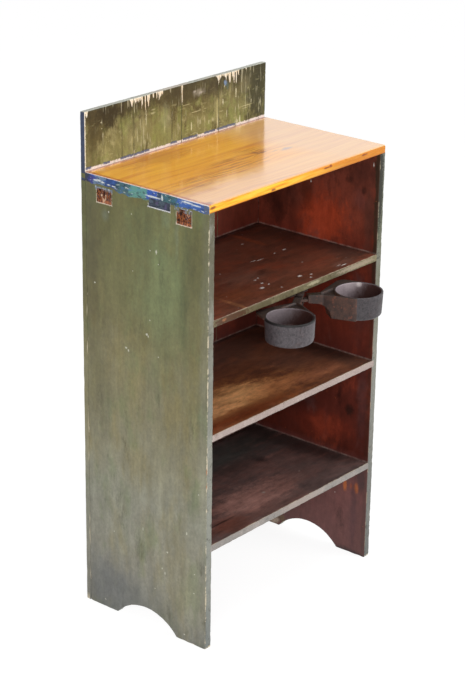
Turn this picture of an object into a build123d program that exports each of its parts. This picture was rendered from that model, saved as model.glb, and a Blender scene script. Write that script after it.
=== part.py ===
from build123d import *
from math import cos, radians, sin
import os

os.makedirs("parts", exist_ok=True)

# Wooden newspaper stand: two sides with arched feet, a board back, a top and three shelves,
# and a pair of cast iron cups that swing on one pin under the upper shelf.
# Millimetres, +Z up from the floor, front faces -Y, +X to the right seen from the front.

# Overall sizes of the cabinet
width = 558.0
depth = 335.0
counter_height = 950.0
backsplash_height = 120.0

# Boards
side_thickness = 17.0
top_thickness = 16.5
shelf_thickness = 15.0
back_thickness = 12.6
first_board_widths = (142.0, 145.0, 117.0)  # from the left; the last board takes the rest
board_ease = 0.8                            # eased arris of each back board at its joints
top_ease = 1.5                              # rounded upper front arris of the top
housing_depth = 6.0                         # how far a shelf is let into a side

# Shelves, floor to upper face
lower_shelf_height = 233.0
shelf_pitch = 240.8

# Feet: a flat arch cut out of each side
arch_width = 166.0
arch_height = 38.0
arch_setback = 162.0                        # front edge to the middle of the arch
foot_round = 5.0

# Shallow hinge housings in the outer face of the left side:
# middle behind the front edge, middle height, length, height
recess_depth = 2.0
hinge_recesses = (
    (63.5, 912.0, 37.0, 30.0),
    (127.5, 924.0, 55.0, 16.0),
    (271.5, 910.0, 39.0, 28.0),
)
recess_corner = 2.0

# Pivot plate under the upper shelf
plate_length = 62.0
plate_depth = 40.0
plate_thickness = 3.5
plate_corner = 6.0
plate_boss_height = 1.3
pivot_from_middle = 4.0                     # pin to the right of the cabinet's middle
pivot_setback = 2.0                         # pin behind the front edge of the shelf

# Pin, washer and nut
pin_diameter = 9.5
pin_play = 0.1                              # radial running clearance in the eyes
pin_end = 3.0                               # thread beyond the nut
washer_diameter = 20.0
washer_thickness = 1.6
nut_across_flats = 15.0
nut_height = 6.0

# Cup castings
cup_diameter = 102.0
cup_wall = 5.2                              # at the rim
cup_height = 50.0
cup_draft = 2.2                             # how much narrower the foot is all round
cup_bottom_chamfer = 3.5
bowl_depth = 43.5                           # under the rim
bowl_chamfer = 9.0                          # round the floor of the bowl
rim_clearance = 5.1                         # shelf underside to the rim
arm_length = 125.5                          # pin to cup centre
neck_length = 50.0                          # pin to the start of the flare
heel_length = 63.5                          # full depth of the arm, from the cup's centre
web_depth = 19.5                            # arm depth beyond the heel
saddle = 1.5                                # how far the front flank stands proud of the cup
saddle_turn = 22.0                          # degrees between the line where it ends and square to the arm
wing_length = 112.0                         # pin to the middle of the wing's round corner, along the arm
wing_offset = 49.5                          # and to its back
wing_corner = 20.0
wing_thickness = 5.0
eye_diameter = 17.0
eye_height = 6.8
eye_gap = 0.4                               # between the two stacked eyes
lap_radius = 18.0                           # each arm is halved within this radius of the pin
rib_width = 4.5
pocket_depth = 4.0
left_rest_angle = 209.8                     # degrees from +X to each arm at rest
right_rest_angle = -34.7

# Heights and places that follow from the sizes above
side_height = counter_height - top_thickness
side_depth = depth - back_thickness
back_height = counter_height + backsplash_height
shelf_heights = {
    "lower_shelf": lower_shelf_height,
    "middle_shelf": lower_shelf_height + shelf_pitch,
    "upper_shelf": lower_shelf_height + 2 * shelf_pitch,
}
shelf_underside = shelf_heights["upper_shelf"] - shelf_thickness
cup_radius = cup_diameter / 2
eye_radius = eye_diameter / 2
pin_radius = pin_diameter / 2
arch_radius = (arch_width**2 / 4 + arch_height**2) / (2 * arch_height)

# The origin is under the middle of the whole stand, cups included
cup_reach = arm_length * sin(radians(-right_rest_angle)) + cup_radius - pivot_setback
front_y = (cup_reach - depth) / 2
rear_y = front_y + side_depth
middle_y = front_y + side_depth / 2
rim_z = shelf_underside - rim_clearance
root_depth = 2 * eye_height + eye_gap
eyes_underside = rim_z - root_depth
pin_x = pivot_from_middle
pin_y = front_y + pivot_setback


def side_board(outer_x, inward, recesses=()):
    """Side board with arched feet, housings for the shelves and recesses in its outer face."""
    with BuildPart() as board:
        with BuildSketch(Plane.YZ.offset(outer_x)) as outline:
            with Locations((middle_y, side_height / 2)):
                Rectangle(side_depth, side_height)
            with Locations((front_y + arch_setback, arch_height - arch_radius)):
                Circle(arch_radius, mode=Mode.SUBTRACT)
            fillet(outline.vertices().group_by(Axis.Z)[0], foot_round)
        extrude(amount=inward * side_thickness)
        inner_x = outer_x + inward * side_thickness
        for height in shelf_heights.values():
            with Locations((inner_x, middle_y, height - shelf_thickness / 2)):
                Box(2 * housing_depth, side_depth, shelf_thickness, mode=Mode.SUBTRACT)
        for setback, height, length, rise in recesses:
            with BuildSketch(Plane.YZ.offset(outer_x)):
                with Locations((front_y + setback, height)):
                    RectangleRounded(length, rise, recess_corner)
            extrude(amount=inward * recess_depth, mode=Mode.SUBTRACT)
    return board


# Left side, with three shallow hinge housings cut in its outer face
left_side = side_board(-width / 2, 1, hinge_recesses)
left_side.part.label = "left_side"
export_step(left_side.part, "parts/left_side.step")

# Right side, plain outside
right_side = side_board(width / 2, -1)
right_side.part.label = "right_side"
export_step(right_side.part, "parts/right_side.step")

# Top board on the ends of the sides
with BuildPart() as top_board:
    with BuildSketch(Plane.XY.offset(side_height)):
        with Locations((0, middle_y)):
            Rectangle(width, side_depth)
    extrude(amount=top_thickness)
    upper_edges = top_board.faces().sort_by(Axis.Z)[-1].edges()
    fillet(upper_edges.sort_by(Axis.Y)[:-1], top_ease)
top_board.part.label = "top_board"
export_step(top_board.part, "parts/top_board.step")

# Shelves, let into both sides and flush with their front edges
shelf_length = width - 2 * side_thickness + 2 * housing_depth
for name, height in shelf_heights.items():
    with BuildPart() as shelf:
        with BuildSketch(Plane.XY.offset(height)):
            with Locations((0, middle_y)):
                Rectangle(shelf_length, side_depth)
        extrude(amount=-shelf_thickness)
    shelf.part.label = name
    export_step(shelf.part, f"parts/{name}.step")

# Back of upright boards, nailed over the rear edges of the sides and up past the top
last_board_width = width - sum(first_board_widths)
board_left = -width / 2
for number, board_width in enumerate((*first_board_widths, last_board_width), start=1):
    with BuildPart() as back_board:
        with BuildSketch(Plane.XY):
            with Locations((board_left + board_width / 2, rear_y + back_thickness / 2)):
                Rectangle(board_width, back_thickness)
        extrude(amount=back_height)
        chamfer(back_board.edges().filter_by(Axis.Z), board_ease)
    back_board.part.label = f"back_board_{number}"
    export_step(back_board.part, f"parts/back_board_{number}.step")
    board_left += board_width

# Pivot plate, with a round nose and a boss about the pin
with BuildPart() as pivot_plate:
    with BuildSketch(Plane.XY.offset(shelf_underside)):
        with Locations((pin_x, pin_y + plate_depth / 2)):
            RectangleRounded(plate_length, plate_depth, plate_corner)
        with Locations((pin_x, pin_y)):
            Circle(washer_diameter / 2)
    extrude(amount=-plate_thickness)
    with BuildSketch(Plane.XY.offset(shelf_underside - plate_thickness)):
        with Locations((pin_x, pin_y)):
            Circle(washer_diameter / 2)
    extrude(amount=-plate_boss_height)
pivot_plate.part.label = "pivot_plate"
export_step(pivot_plate.part, "parts/pivot_plate.step")

# Pin through both eyes, with a rounded end
washer_z = eyes_underside - eye_gap
nut_z = washer_z - washer_thickness
pin_top = shelf_underside - plate_thickness - plate_boss_height
with BuildPart() as pivot_pin:
    with BuildSketch(Plane.XY.offset(pin_top)):
        with Locations((pin_x, pin_y)):
            Circle(pin_radius)
    extrude(amount=nut_z - nut_height - pin_end - pin_top)
    chamfer(pivot_pin.faces().sort_by(Axis.Z)[0].edges(), pin_end / 3)
pivot_pin.part.label = "pivot_pin"
export_step(pivot_pin.part, "parts/pivot_pin.step")

# Washer and nut that hold the eyes up
with BuildPart() as pivot_washer:
    with BuildSketch(Plane.XY.offset(washer_z)):
        with Locations((pin_x, pin_y)):
            Circle(washer_diameter / 2)
            Circle(pin_radius, mode=Mode.SUBTRACT)
    extrude(amount=-washer_thickness)
pivot_washer.part.label = "pivot_washer"
export_step(pivot_washer.part, "parts/pivot_washer.step")

with BuildPart() as pivot_nut:
    with BuildSketch(Plane.XY.offset(nut_z)):
        with Locations((pin_x, pin_y)):
            RegularPolygon(nut_across_flats / 2, 6, major_radius=False)
            Circle(pin_radius, mode=Mode.SUBTRACT)
    extrude(amount=-nut_height)
pivot_nut.part.label = "pivot_nut"
export_step(pivot_nut.part, "parts/pivot_nut.step")


def arm_plane(angle):
    """Plane at the rim's height with its origin on the pin and X along an arm."""
    along = (cos(radians(angle)), sin(radians(angle)), 0)
    return Plane(origin=(pin_x, pin_y, rim_z), x_dir=along, z_dir=(0, 0, 1))


def draw_flare(back, wing=False):
    """Draws the flare of an arm in the open sketch, from its neck to where it ends on the cup."""
    with Locations((neck_length, 0)):
        Circle(eye_radius)
    if wing:
        with Locations((arm_length, 0)):
            Circle(cup_radius)
        with Locations((wing_length, back * wing_offset)):
            Circle(wing_corner)
    else:
        with Locations((arm_length, -back * (saddle + cup_draft))):
            Circle(cup_radius - cup_draft)
    make_hull()
    with Locations((arm_length, 0)):
        Rectangle(
            cup_diameter,
            2 * cup_diameter,
            rotation=-back * saddle_turn,
            align=(Align.MIN, Align.CENTER),
            mode=Mode.SUBTRACT,
        )


def cup_casting(angle, back):
    """Cup and arm in one casting, at an angle from +X; back is 1 or -1, the side of its wing."""
    rim = arm_plane(angle)
    side = Plane(origin=rim.origin, x_dir=rim.x_dir, z_dir=-rim.y_dir)
    cup_axis = Axis(rim.origin + rim.x_dir * arm_length, rim.z_dir)
    outer = arm_length + cup_radius
    foot = outer - cup_draft
    mouth = outer - cup_wall
    arc_start = arm_length - heel_length
    arc_radius = cup_height - web_depth
    with BuildPart() as casting:
        # Neck and flare, full depth
        with BuildSketch(rim.offset(-cup_height)):
            draw_flare(back)
            with Locations((neck_length / 2, 0)):
                Rectangle(neck_length, eye_diameter)
        extrude(amount=cup_height)
        # Side view: flat on top, the underside swept up from the heel to the pin
        with BuildSketch(side):
            with BuildLine():
                sweep_up = CenterArc((arc_start - arc_radius, -cup_height), arc_radius, 0, 90)
                Polyline(
                    sweep_up @ 1,
                    (0, -root_depth),
                    (0, 0),
                    (outer, 0),
                    (outer, -cup_height),
                    sweep_up @ 0,
                )
            make_face()
        extrude(amount=cup_diameter, both=True, mode=Mode.INTERSECT)
        # Thin wing on the side that swings in under the shelf
        with BuildSketch(rim.offset(-wing_thickness)):
            draw_flare(back, wing=True)
        extrude(amount=wing_thickness)
        # Cup, and the bowl cut into it
        with BuildSketch(side):
            Polygon(
                (arm_length, 0),
                (arm_length, -cup_height),
                (foot - cup_bottom_chamfer, -cup_height),
                (foot, cup_bottom_chamfer - cup_height),
                (outer, 0),
                align=None,
            )
        revolve(axis=cup_axis)
        with BuildSketch(side):
            Polygon(
                (arm_length, 0),
                (arm_length, -bowl_depth),
                (mouth - cup_draft - bowl_chamfer, -bowl_depth),
                (mouth - cup_draft, bowl_chamfer - bowl_depth),
                (mouth, 0),
                align=None,
            )
        revolve(axis=cup_axis, mode=Mode.SUBTRACT)
        # Shallow pocket that leaves a rib along each flank
        with BuildSketch(rim):
            with Locations((arm_length, 0)):
                Circle(cup_radius - rib_width)
            with Locations((neck_length, 0)):
                Circle(eye_radius - rib_width)
            make_hull()
            with Locations((arm_length, 0)):
                Circle(cup_radius, mode=Mode.SUBTRACT)
        extrude(amount=-pocket_depth, mode=Mode.SUBTRACT)
        # Halving about the pin, where the eyes stack
        with BuildSketch(rim.offset(-cup_height)):
            Circle(lap_radius)
        extrude(amount=cup_height, mode=Mode.SUBTRACT)
    return casting


def arm_eye(angle, eye_top):
    """Half-depth root of an arm with its eye about the pin, at its depth under the rim."""
    with BuildPart() as eye:
        with BuildSketch(arm_plane(angle).offset(-eye_top - eye_height)):
            Circle(eye_radius)
            with Locations((lap_radius / 2, 0)):
                Rectangle(lap_radius, eye_diameter)
            Circle(lap_radius, mode=Mode.INTERSECT)
            Circle(pin_radius + pin_play, mode=Mode.SUBTRACT)
        extrude(amount=eye_height)
    return eye


# Left cup, whose eye is the upper one
left_cup = cup_casting(left_rest_angle, -1)
left_cup.part.label = "left_cup"
export_step(left_cup.part, "parts/left_cup.step")

left_eye = arm_eye(left_rest_angle, 0)
left_eye.part.label = "left_eye"
export_step(left_eye.part, "parts/left_eye.step")

# Right cup, whose eye is the lower one
right_cup = cup_casting(right_rest_angle, 1)
right_cup.part.label = "right_cup"
export_step(right_cup.part, "parts/right_cup.step")

right_eye = arm_eye(right_rest_angle, eye_height + eye_gap)
right_eye.part.label = "right_eye"
export_step(right_eye.part, "parts/right_eye.step")

print("front face y", round(front_y, 2), "rear", round(front_y + depth, 2))
print("pin", round(pin_x, 2), round(pin_y, 2), "rim z", round(rim_z, 2))
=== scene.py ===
import bpy
import bmesh
import math
from mathutils import Matrix, Vector, noise


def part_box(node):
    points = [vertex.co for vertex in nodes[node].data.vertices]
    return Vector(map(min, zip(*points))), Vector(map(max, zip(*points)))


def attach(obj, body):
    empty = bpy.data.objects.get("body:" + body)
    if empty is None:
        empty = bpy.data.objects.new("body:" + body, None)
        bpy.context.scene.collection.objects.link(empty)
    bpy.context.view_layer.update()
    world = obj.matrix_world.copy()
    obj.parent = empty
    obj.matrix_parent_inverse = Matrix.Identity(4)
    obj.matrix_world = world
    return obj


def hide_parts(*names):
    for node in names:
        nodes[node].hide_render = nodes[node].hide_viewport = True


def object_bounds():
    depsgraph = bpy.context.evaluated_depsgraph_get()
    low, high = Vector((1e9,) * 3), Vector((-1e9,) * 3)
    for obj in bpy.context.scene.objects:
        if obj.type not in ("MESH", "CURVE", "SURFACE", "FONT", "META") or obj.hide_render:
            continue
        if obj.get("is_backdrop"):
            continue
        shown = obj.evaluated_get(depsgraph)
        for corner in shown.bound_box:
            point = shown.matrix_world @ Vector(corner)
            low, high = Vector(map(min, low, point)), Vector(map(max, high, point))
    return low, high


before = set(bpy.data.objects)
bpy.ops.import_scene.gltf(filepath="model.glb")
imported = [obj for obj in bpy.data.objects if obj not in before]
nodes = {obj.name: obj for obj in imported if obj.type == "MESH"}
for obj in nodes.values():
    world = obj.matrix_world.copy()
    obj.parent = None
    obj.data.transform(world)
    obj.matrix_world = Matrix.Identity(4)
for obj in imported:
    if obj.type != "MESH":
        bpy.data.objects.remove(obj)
cadLow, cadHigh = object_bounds()
print("frame loaded,", len(nodes), "nodes")


# Small helpers for shader and geometry trees

current = {}  # the tree that is being built, and for a material its shader and object coordinates


class Value:  # a node's output that takes part in sums
    def __init__(self, socket):
        self.socket = socket

    def __add__(self, other):
        return calc("ADD", self, other)

    def __mul__(self, other):
        return calc("MULTIPLY", self, other)

    def __sub__(self, other):
        return calc("SUBTRACT", self, other)

    def __rsub__(self, other):
        return calc("SUBTRACT", other, self)

    def __truediv__(self, other):
        return calc("DIVIDE", self, other)

    def __lt__(self, other):
        return calc("LESS_THAN", self, other)

    def __gt__(self, other):
        return calc("GREATER_THAN", self, other)

    def __abs__(self):
        return calc("ABSOLUTE", self)

    __radd__ = __add__
    __rmul__ = __mul__


def tone(code):  # sRGB hex to the linear values that Blender wants
    parts = [int(code[i:i + 2], 16) / 255 for i in (1, 3, 5)]
    return tuple(c / 12.92 if c <= 0.04045 else ((c + 0.055) / 1.055) ** 2.4 for c in parts) + (1.0,)


def feed(target, value):  # a Value is linked, a colour code or anything else becomes the fixed value
    if isinstance(value, Value):
        current["tree"].links.new(value.socket, target)
    elif isinstance(value, str) and value.startswith("#"):
        target.default_value = tone(value)
    elif value is not None:
        target.default_value = value


def makeNode(kind, inputs=None, settings=None):
    made = current["tree"].nodes.new(kind)
    for key, value in (settings or {}).items():
        setattr(made, key, value)
    for key, value in (inputs or {}).items():
        feed(made.inputs[key], value)
    return made


def add(kind, inputs=None, settings=None, pick=0):  # makes a node and returns one of its outputs
    return Value(makeNode(kind, inputs, settings).outputs[pick])


def calc(operation, *values):
    return add("ShaderNodeMath", dict(enumerate(values)), {"operation": operation})


def vector(operation, *values):
    keys = (0, "Scale") if operation == "SCALE" else (0, 1, 2)
    return add("ShaderNodeVectorMath", dict(zip(keys, values)), {"operation": operation})


def xyz(*values):  # a point from two or three values
    return add("ShaderNodeCombineXYZ", dict(enumerate(values)))


def axesOf(value):
    return [Value(socket) for socket in makeNode("ShaderNodeSeparateXYZ", {0: value}).outputs]


def stored(name):  # a value that the geometry code has stored on the points
    return add("ShaderNodeAttribute", settings={"attribute_name": name}, pick="Fac")


def anyOf(*values):  # the greatest
    best = values[0]
    for value in values[1:]:
        best = calc("MAXIMUM", best, value)
    return best


def least(a, b):
    return calc("MINIMUM", a, b)


def remap(value, low, high, outLow=0.0, outHigh=1.0, kind="SMOOTHSTEP"):
    inputs = dict(enumerate((value, low, high, outLow, outHigh)))
    return add("ShaderNodeMapRange", inputs, {"interpolation_type": kind})


def falling(value, low, high):  # 1 up to low, 0 from high
    return remap(value, low, high, 1.0, 0.0)


def evenly(value, low, high):  # a noise spread from low to high
    return remap(value, 0.3, 0.7, low, high, "LINEAR")


def sway(value, amount):  # a noise turned into a shift round 0
    return evenly(value, -amount, amount)


def swing(value, amount):  # a noise turned into a factor round 1
    return evenly(value, 1 - amount, 1 + amount)


def placed(where, stretch, shift):
    where = current["where"] if where is None else where
    return add("ShaderNodeMapping", {"Vector": where, "Scale": stretch, "Location": shift})


def cloud(scale, detail=4.0, rough=0.55, stretch=(1, 1, 1), shift=(0, 0, 0), warp=0.0, where=None):
    return add("ShaderNodeTexNoise", {
        "Vector": placed(where, stretch, shift), "Scale": scale, "Detail": detail, "Roughness": rough,
        "Distortion": warp})


def speckle(scale, stretch=(1, 1, 1), shift=(0, 0, 0)):  # distance to scattered points, and a colour for each
    made = makeNode("ShaderNodeTexVoronoi", {"Vector": placed(None, stretch, shift), "Scale": scale})
    return Value(made.outputs["Distance"]), Value(made.outputs["Color"])


def mix(share, a, b, kind="MIX"):
    settings = {"data_type": "RGBA", "blend_type": kind, "clamp_result": False}
    return add("ShaderNodeMix", {0: share, 6: a, 7: b}, settings, 2)


def patched(colour, code, share, low, high, *form, **more):  # the code shows where a noise is high
    return mix(remap(cloud(*form, **more), low, high, 0, share), colour, code)


def shade(colour, *factors):
    for factor in factors:
        colour = mix(1.0, colour, factor, "MULTIPLY")
    return colour


def ramp(value, stops, kind="LINEAR"):
    made = makeNode("ShaderNodeValToRGB", {0: value})
    made.color_ramp.interpolation = kind
    ends = made.color_ramp.elements
    while len(ends) < len(stops):
        ends.new(0.5)
    for end, (place, code) in zip(ends, stops):
        end.position = place
        end.color = tone(code)
    return Value(made.outputs[0])


def startMaterial(name, roughness, specular, metallic=0.0, coat=0.0, coatRoughness=0.1):
    made = bpy.data.materials.new(name)
    made.use_nodes = True
    shader = made.node_tree.nodes["Principled BSDF"]
    shader.inputs["Roughness"].default_value = roughness
    shader.inputs["Specular IOR Level"].default_value = specular
    shader.inputs["Metallic"].default_value = metallic
    shader.inputs["Coat Weight"].default_value = coat
    shader.inputs["Coat Roughness"].default_value = coatRoughness
    current.update(material=made, tree=made.node_tree, shader=shader)
    current["where"] = add("ShaderNodeTexCoord", pick="Object")
    return axesOf(current["where"])


def finishMaterial(colour, roughness, height, depth, strength):
    inputs = current["shader"].inputs
    feed(inputs["Base Color"], colour)
    feed(inputs["Roughness"], roughness)
    feed(inputs["Normal"], add("ShaderNodeBump", {"Strength": strength, "Distance": depth, "Height": height}))
    return current["material"]


def addObject(name, data):
    made = bpy.data.objects.new(name, data)
    bpy.context.scene.collection.objects.link(made)
    return made


def metres(row):  # the tables of marks are in millimetres
    return [c / 1000 for c in row]


def blot(flat, oval, wobble, soft):  # 1 inside a ragged oval, 0 outside
    u, v, halfU, halfV = metres(oval)
    scaled = vector("MULTIPLY_ADD", flat, (1 / halfU, 1 / halfV, 0), (-u / halfU, -v / halfV, 0))
    far = add("ShaderNodeVectorMath", {0: scaled}, {"operation": "LENGTH"}, "Value")
    return falling(far + wobble, 1 - soft, 1 + soft)


def stained(colour, flat, marks, wobble, soft):  # marks: u, v, half width, half height, colour, share
    for *oval, code, share in marks:
        colour = mix(blot(flat, oval, wobble, soft) * share, colour, code)
    return colour


def flecked(flat, places, wobble, soft=0.3):  # places: u, v, half width, half height
    return anyOf(*[blot(flat, oval, wobble, soft) for oval in places])


def offEdge(u, v, middle, half):  # distance outside a flat rectangle, less than 0 inside it
    return anyOf(*[abs(w - m) - h for w, m, h in zip((u, v), middle, half)])


# Levels and places read from the CAD, in metres
sideLow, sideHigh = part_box("left_side")
rightLow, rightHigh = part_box("right_side")
topLow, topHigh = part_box("top_board")
frontY = sideLow.y
rearY = sideHigh.y
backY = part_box("back_board_1")[1].y
counterZ = topHigh.z
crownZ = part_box("back_board_1")[1].z
innerX = rightLow.x
shelfTops = [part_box(n)[1].z for n in ("lower_shelf", "middle_shelf", "upper_shelf")]
shelfThick = shelfTops[0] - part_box("lower_shelf")[0].z
farAway = 9.0  # more than any place on the stand
touching = 0.00001

# Camera, lights and stage

view = {
    "place": (-3.0417, -2.4712, 2.1095),
    "azimuth": -50.182, "elevation": 21.678, "roll": 0.810,  # degrees
    "lens": 105.44, "sensor": 36,  # millimetres
    "reach": 60,
}
cameraData = bpy.data.cameras.new("camera")
cameraData.lens = view["lens"]
cameraData.sensor_width = view["sensor"]
cameraData.clip_end = view["reach"]
camera = addObject("camera", cameraData)
az, el, roll = (math.radians(view[k]) for k in ("azimuth", "elevation", "roll"))
backward = Vector((math.sin(az) * math.cos(el), -math.cos(az) * math.cos(el), math.sin(el)))
sideways = (-backward).cross(Vector((0, 0, 1))).normalized()
upward = sideways.cross(-backward)
rolledRight = sideways * math.cos(roll) + upward * math.sin(roll)
rolledUp = upward * math.cos(roll) - sideways * math.sin(roll)
turned = Matrix((rolledRight, rolledUp, backward)).transposed().to_4x4()
camera.matrix_world = Matrix.Translation(view["place"]) @ turned
bpy.context.scene.camera = camera
bpy.context.scene.view_settings.view_transform = "Standard"

lighting = {
    "worldLevel": 0.44,
    "lamps": (  # name, place, aimed at, side, watts
        ("softboxLeft", (-2.8, -2.2, 1.5), (0, 0, 0.55), 1.8, 52),
        ("softboxRight", (1.6, -3.1, 1.7), (0, 0, 0.5), 1.6, 54),
        ("overhead", (0.2, -0.4, 3.2), (0, 0, 0.8), 1.6, 30),
    ),
    "floorGlow": 0.905,
    "floorTone": 0.2,
    "floorUnder": 0.8,  # what the floor throws back at the stand
    "floorReach": 15,
}
for lampName, place, aim, size, watts in lighting["lamps"]:
    lampData = bpy.data.lights.new(lampName, "AREA")
    lampData.size = size
    lampData.energy = watts
    lamp = addObject(lampName, lampData)
    lamp.location = place
    lamp.rotation_mode = "QUATERNION"
    lamp.rotation_quaternion = (Vector(aim) - Vector(place)).to_track_quat("-Z", "Y")


def seenDirectly():  # by the camera, or in a reflection, or through something clear
    path = makeNode("ShaderNodeLightPath")
    return anyOf(*[Value(path.outputs[f"Is {kind} Ray"]) for kind in ("Camera", "Glossy", "Transmission")])


def greyOf(level):
    return (level, level, level, 1)


world = bpy.data.worlds.new("surround")
bpy.context.scene.world = world
world.use_nodes = True
current["tree"] = world.node_tree
background = world.node_tree.nodes["Background"]
background.inputs["Color"].default_value = greyOf(1)
feed(background.inputs["Strength"],
     remap(seenDirectly(), 0.0, 1.0, lighting["worldLevel"], 1.0, "LINEAR"))

floorMaterial = bpy.data.materials.new("paleFloor")
floorMaterial.use_nodes = True
current["tree"] = floorMaterial.node_tree
current["tree"].nodes.clear()
plain = add("ShaderNodeBsdfDiffuse", {"Color": greyOf(lighting["floorUnder"])})
faint = add("ShaderNodeBsdfDiffuse", {"Color": greyOf(lighting["floorTone"])})
glow = add("ShaderNodeEmission", {"Strength": lighting["floorGlow"]})
seenFloor = add("ShaderNodeAddShader", {0: faint, 1: glow})
choice = add("ShaderNodeMixShader", {0: seenDirectly(), 1: plain, 2: seenFloor})
makeNode("ShaderNodeOutputMaterial", {"Surface": choice})

floorMesh = bpy.data.meshes.new("floor")
far = lighting["floorReach"]
floorMesh.from_pydata([(-far, -far, 0), (far, -far, 0), (far, far, 0), (-far, far, 0)], [], [(0, 1, 2, 3)])
floorMesh.materials.append(floorMaterial)
addObject("floor", floorMesh)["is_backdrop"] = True
print("camera, lights and floor set")

# Paints and finishes; the marks in the tables are in millimetres

housingDepth = 0.002
housingLip = 0.0006  # width of the steep wall round each
hingeHousings = {  # in the left side's outer face: distance behind the front edge, height, length, rise
    "rear": (0.2715, 0.910, 0.039, 0.028),
    "middle": (0.1275, 0.924, 0.055, 0.016),
    "front": (0.0635, 0.912, 0.037, 0.030),
}

outsideLook = {  # olive coach paint, greyer towards the floor; its marks are places in y and z
    "byHeight": (
        (0.0, "#7c7c75"), (0.12, "#918e80"), (0.26, "#8f8e7e"), (0.4, "#8f8b74"), (0.52, "#827d62"),
        (0.64, "#78734f"), (0.8, "#706e48"), (1.0, "#69673f"),
    ),
    "ochre": "#857743", "green": "#6c7a50", "dark": "#45432c", "pale": "#cfcdbb", "bare": "#ddd0b4",
    # lip and whiteLipWithPaintedLight: pale broken paint below the hinge housings, partly a painted highlight
    # of the lit lower ledge
    "rawWood": "#b9724a", "lipWithPaintedLight": "#dccab4", "whiteLipWithPaintedLight": "#e0dfe2", "teal": "#5f7288",
    "chalk": "#c9cdd6",
    "marks": (
        (10, 760, 55, 130, "#7a8860", 0.5), (200, 800, 22, 180, "#57503a", 0.55),
        (-44, 780, 10, 130, "#565b3a", 0.5), (75, 860, 30, 50, "#5c5f3c", 0.4),
        (100, 550, 80, 90, "#857c5b", 0.35), (-30, 130, 70, 100, "#9a967f", 0.4),
        (160, 50, 60, 60, "#686a6b", 0.65), (30, 30, 50, 50, "#77776f", 0.45),
        (-100, 500, 12, 400, "#8a8a7c", 0.35), (162, 873, 7, 10, "#727d74", 0.35),
        (-26, 870, 4, 40, "#7f8878", 0.2), (2, 900, 10, 16, "#748268", 0.35),
        (-75, 830, 20, 50, "#585636", 0.5),
    ),
    "specks": (
        (27.1, 826.9, 1.8, 3.4), (43.2, 826.2, 1.2, 1.2), (192.2, 724.9, 1.8, 1.6),
        (107.8, 606.9, 2.2, 1.8), (101.6, 602.4, 1.6, 2.2), (52.2, 649.7, 2.6, 2.2),
        (48.5, 646.2, 1.2, 2.2), (21.5, 609.6, 1.1, 1.1), (91.7, 889.8, 1.2, 1.2), (152.2, 880.7, 1.4, 1.8),
        (21.9, 802.8, 0.9, 0.9), (89.1, 773.4, 1, 1), (44.1, 681.5, 1.2, 1.2), (-3, 187.7, 1.8, 1.6),
        (11.2, 146.1, 1.2, 2.2), (3.5, 137.8, 1.2, 2.6), (145.3, 186.3, 1, 1.3), (-54.9, 247.7, 1.2, 2.8),
        (30.8, 93, 1.4, 1), (-50.1, 15.4, 1.8, 1.2), (-85.7, 344, 1.2, 1.2), (-76.2, 162.6, 1.4, 1),
        (-74.9, 119.3, 1.6, 1), (171.9, 17.3, 1.5, 1.4), (64.1, 218.6, 0.8, 3.4),
    ),
}

blueLook = {
    "zones": (  # share of the depth from the front edge, colour
        (0.0, "#56627c"), (0.03, "#3a60a8"), (0.245, "#3b6468"), (0.365, "#2b3f5c"), (0.41, "#3358ad"),
        (0.488, "#62998f"), (0.633, "#42666e"), (0.733, "#27457f"), (0.83, "#6f86a0"), (0.904, "#3c3f86"),
        (0.955, "#2a3148"),
    ),
    "deep": "#1c2640", "bright": "#3f6fc0", "white": "#dfe3e3", "slate": "#39435b", "arris": "#e9dedb",
    "housing": ("#272b3d", "#4d5b68", "#55486f"),  # dark, pale and violet slate
    "flakes": (  # y, z, half width, half height
        (187, 938.5, 6, 1.6), (178, 939.8, 6, 2), (168, 937.8, 5, 1.6), (152, 936, 4, 1.4),
        (139, 935.5, 5, 1.2), (36, 936.2, 18, 1.8), (12, 939, 2, 6), (-52, 943.5, 14, 1.6),
        (-74, 941.8, 12, 1.4),
    ),
}


def endTone(y):  # the runs of blue and teal along the end of the top, and spilt below it
    torn = sway(cloud(95, 5, 0.7, (1, 0.6, 1), (3, 3, 3)), 0.045)
    depth = (y - frontY) / (rearY - frontY) + torn
    patch = cloud(130, 5, 0.7, (1, 0.5, 1.2), (1, 3, 7))
    flake = cloud(170, 5, 0.7, (1, 0.4, 1.1))
    colour = ramp(depth, blueLook["zones"], "CONSTANT")
    colour = mix(remap(patch, 0.56, 0.62, 0, 0.75), colour, blueLook["deep"])
    colour = mix(remap(patch, 0.44, 0.38, 0, 0.5), colour, blueLook["bright"])
    return mix(remap(flake, 0.6, 0.66, 0, 0.8), colour, blueLook["white"])


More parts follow.
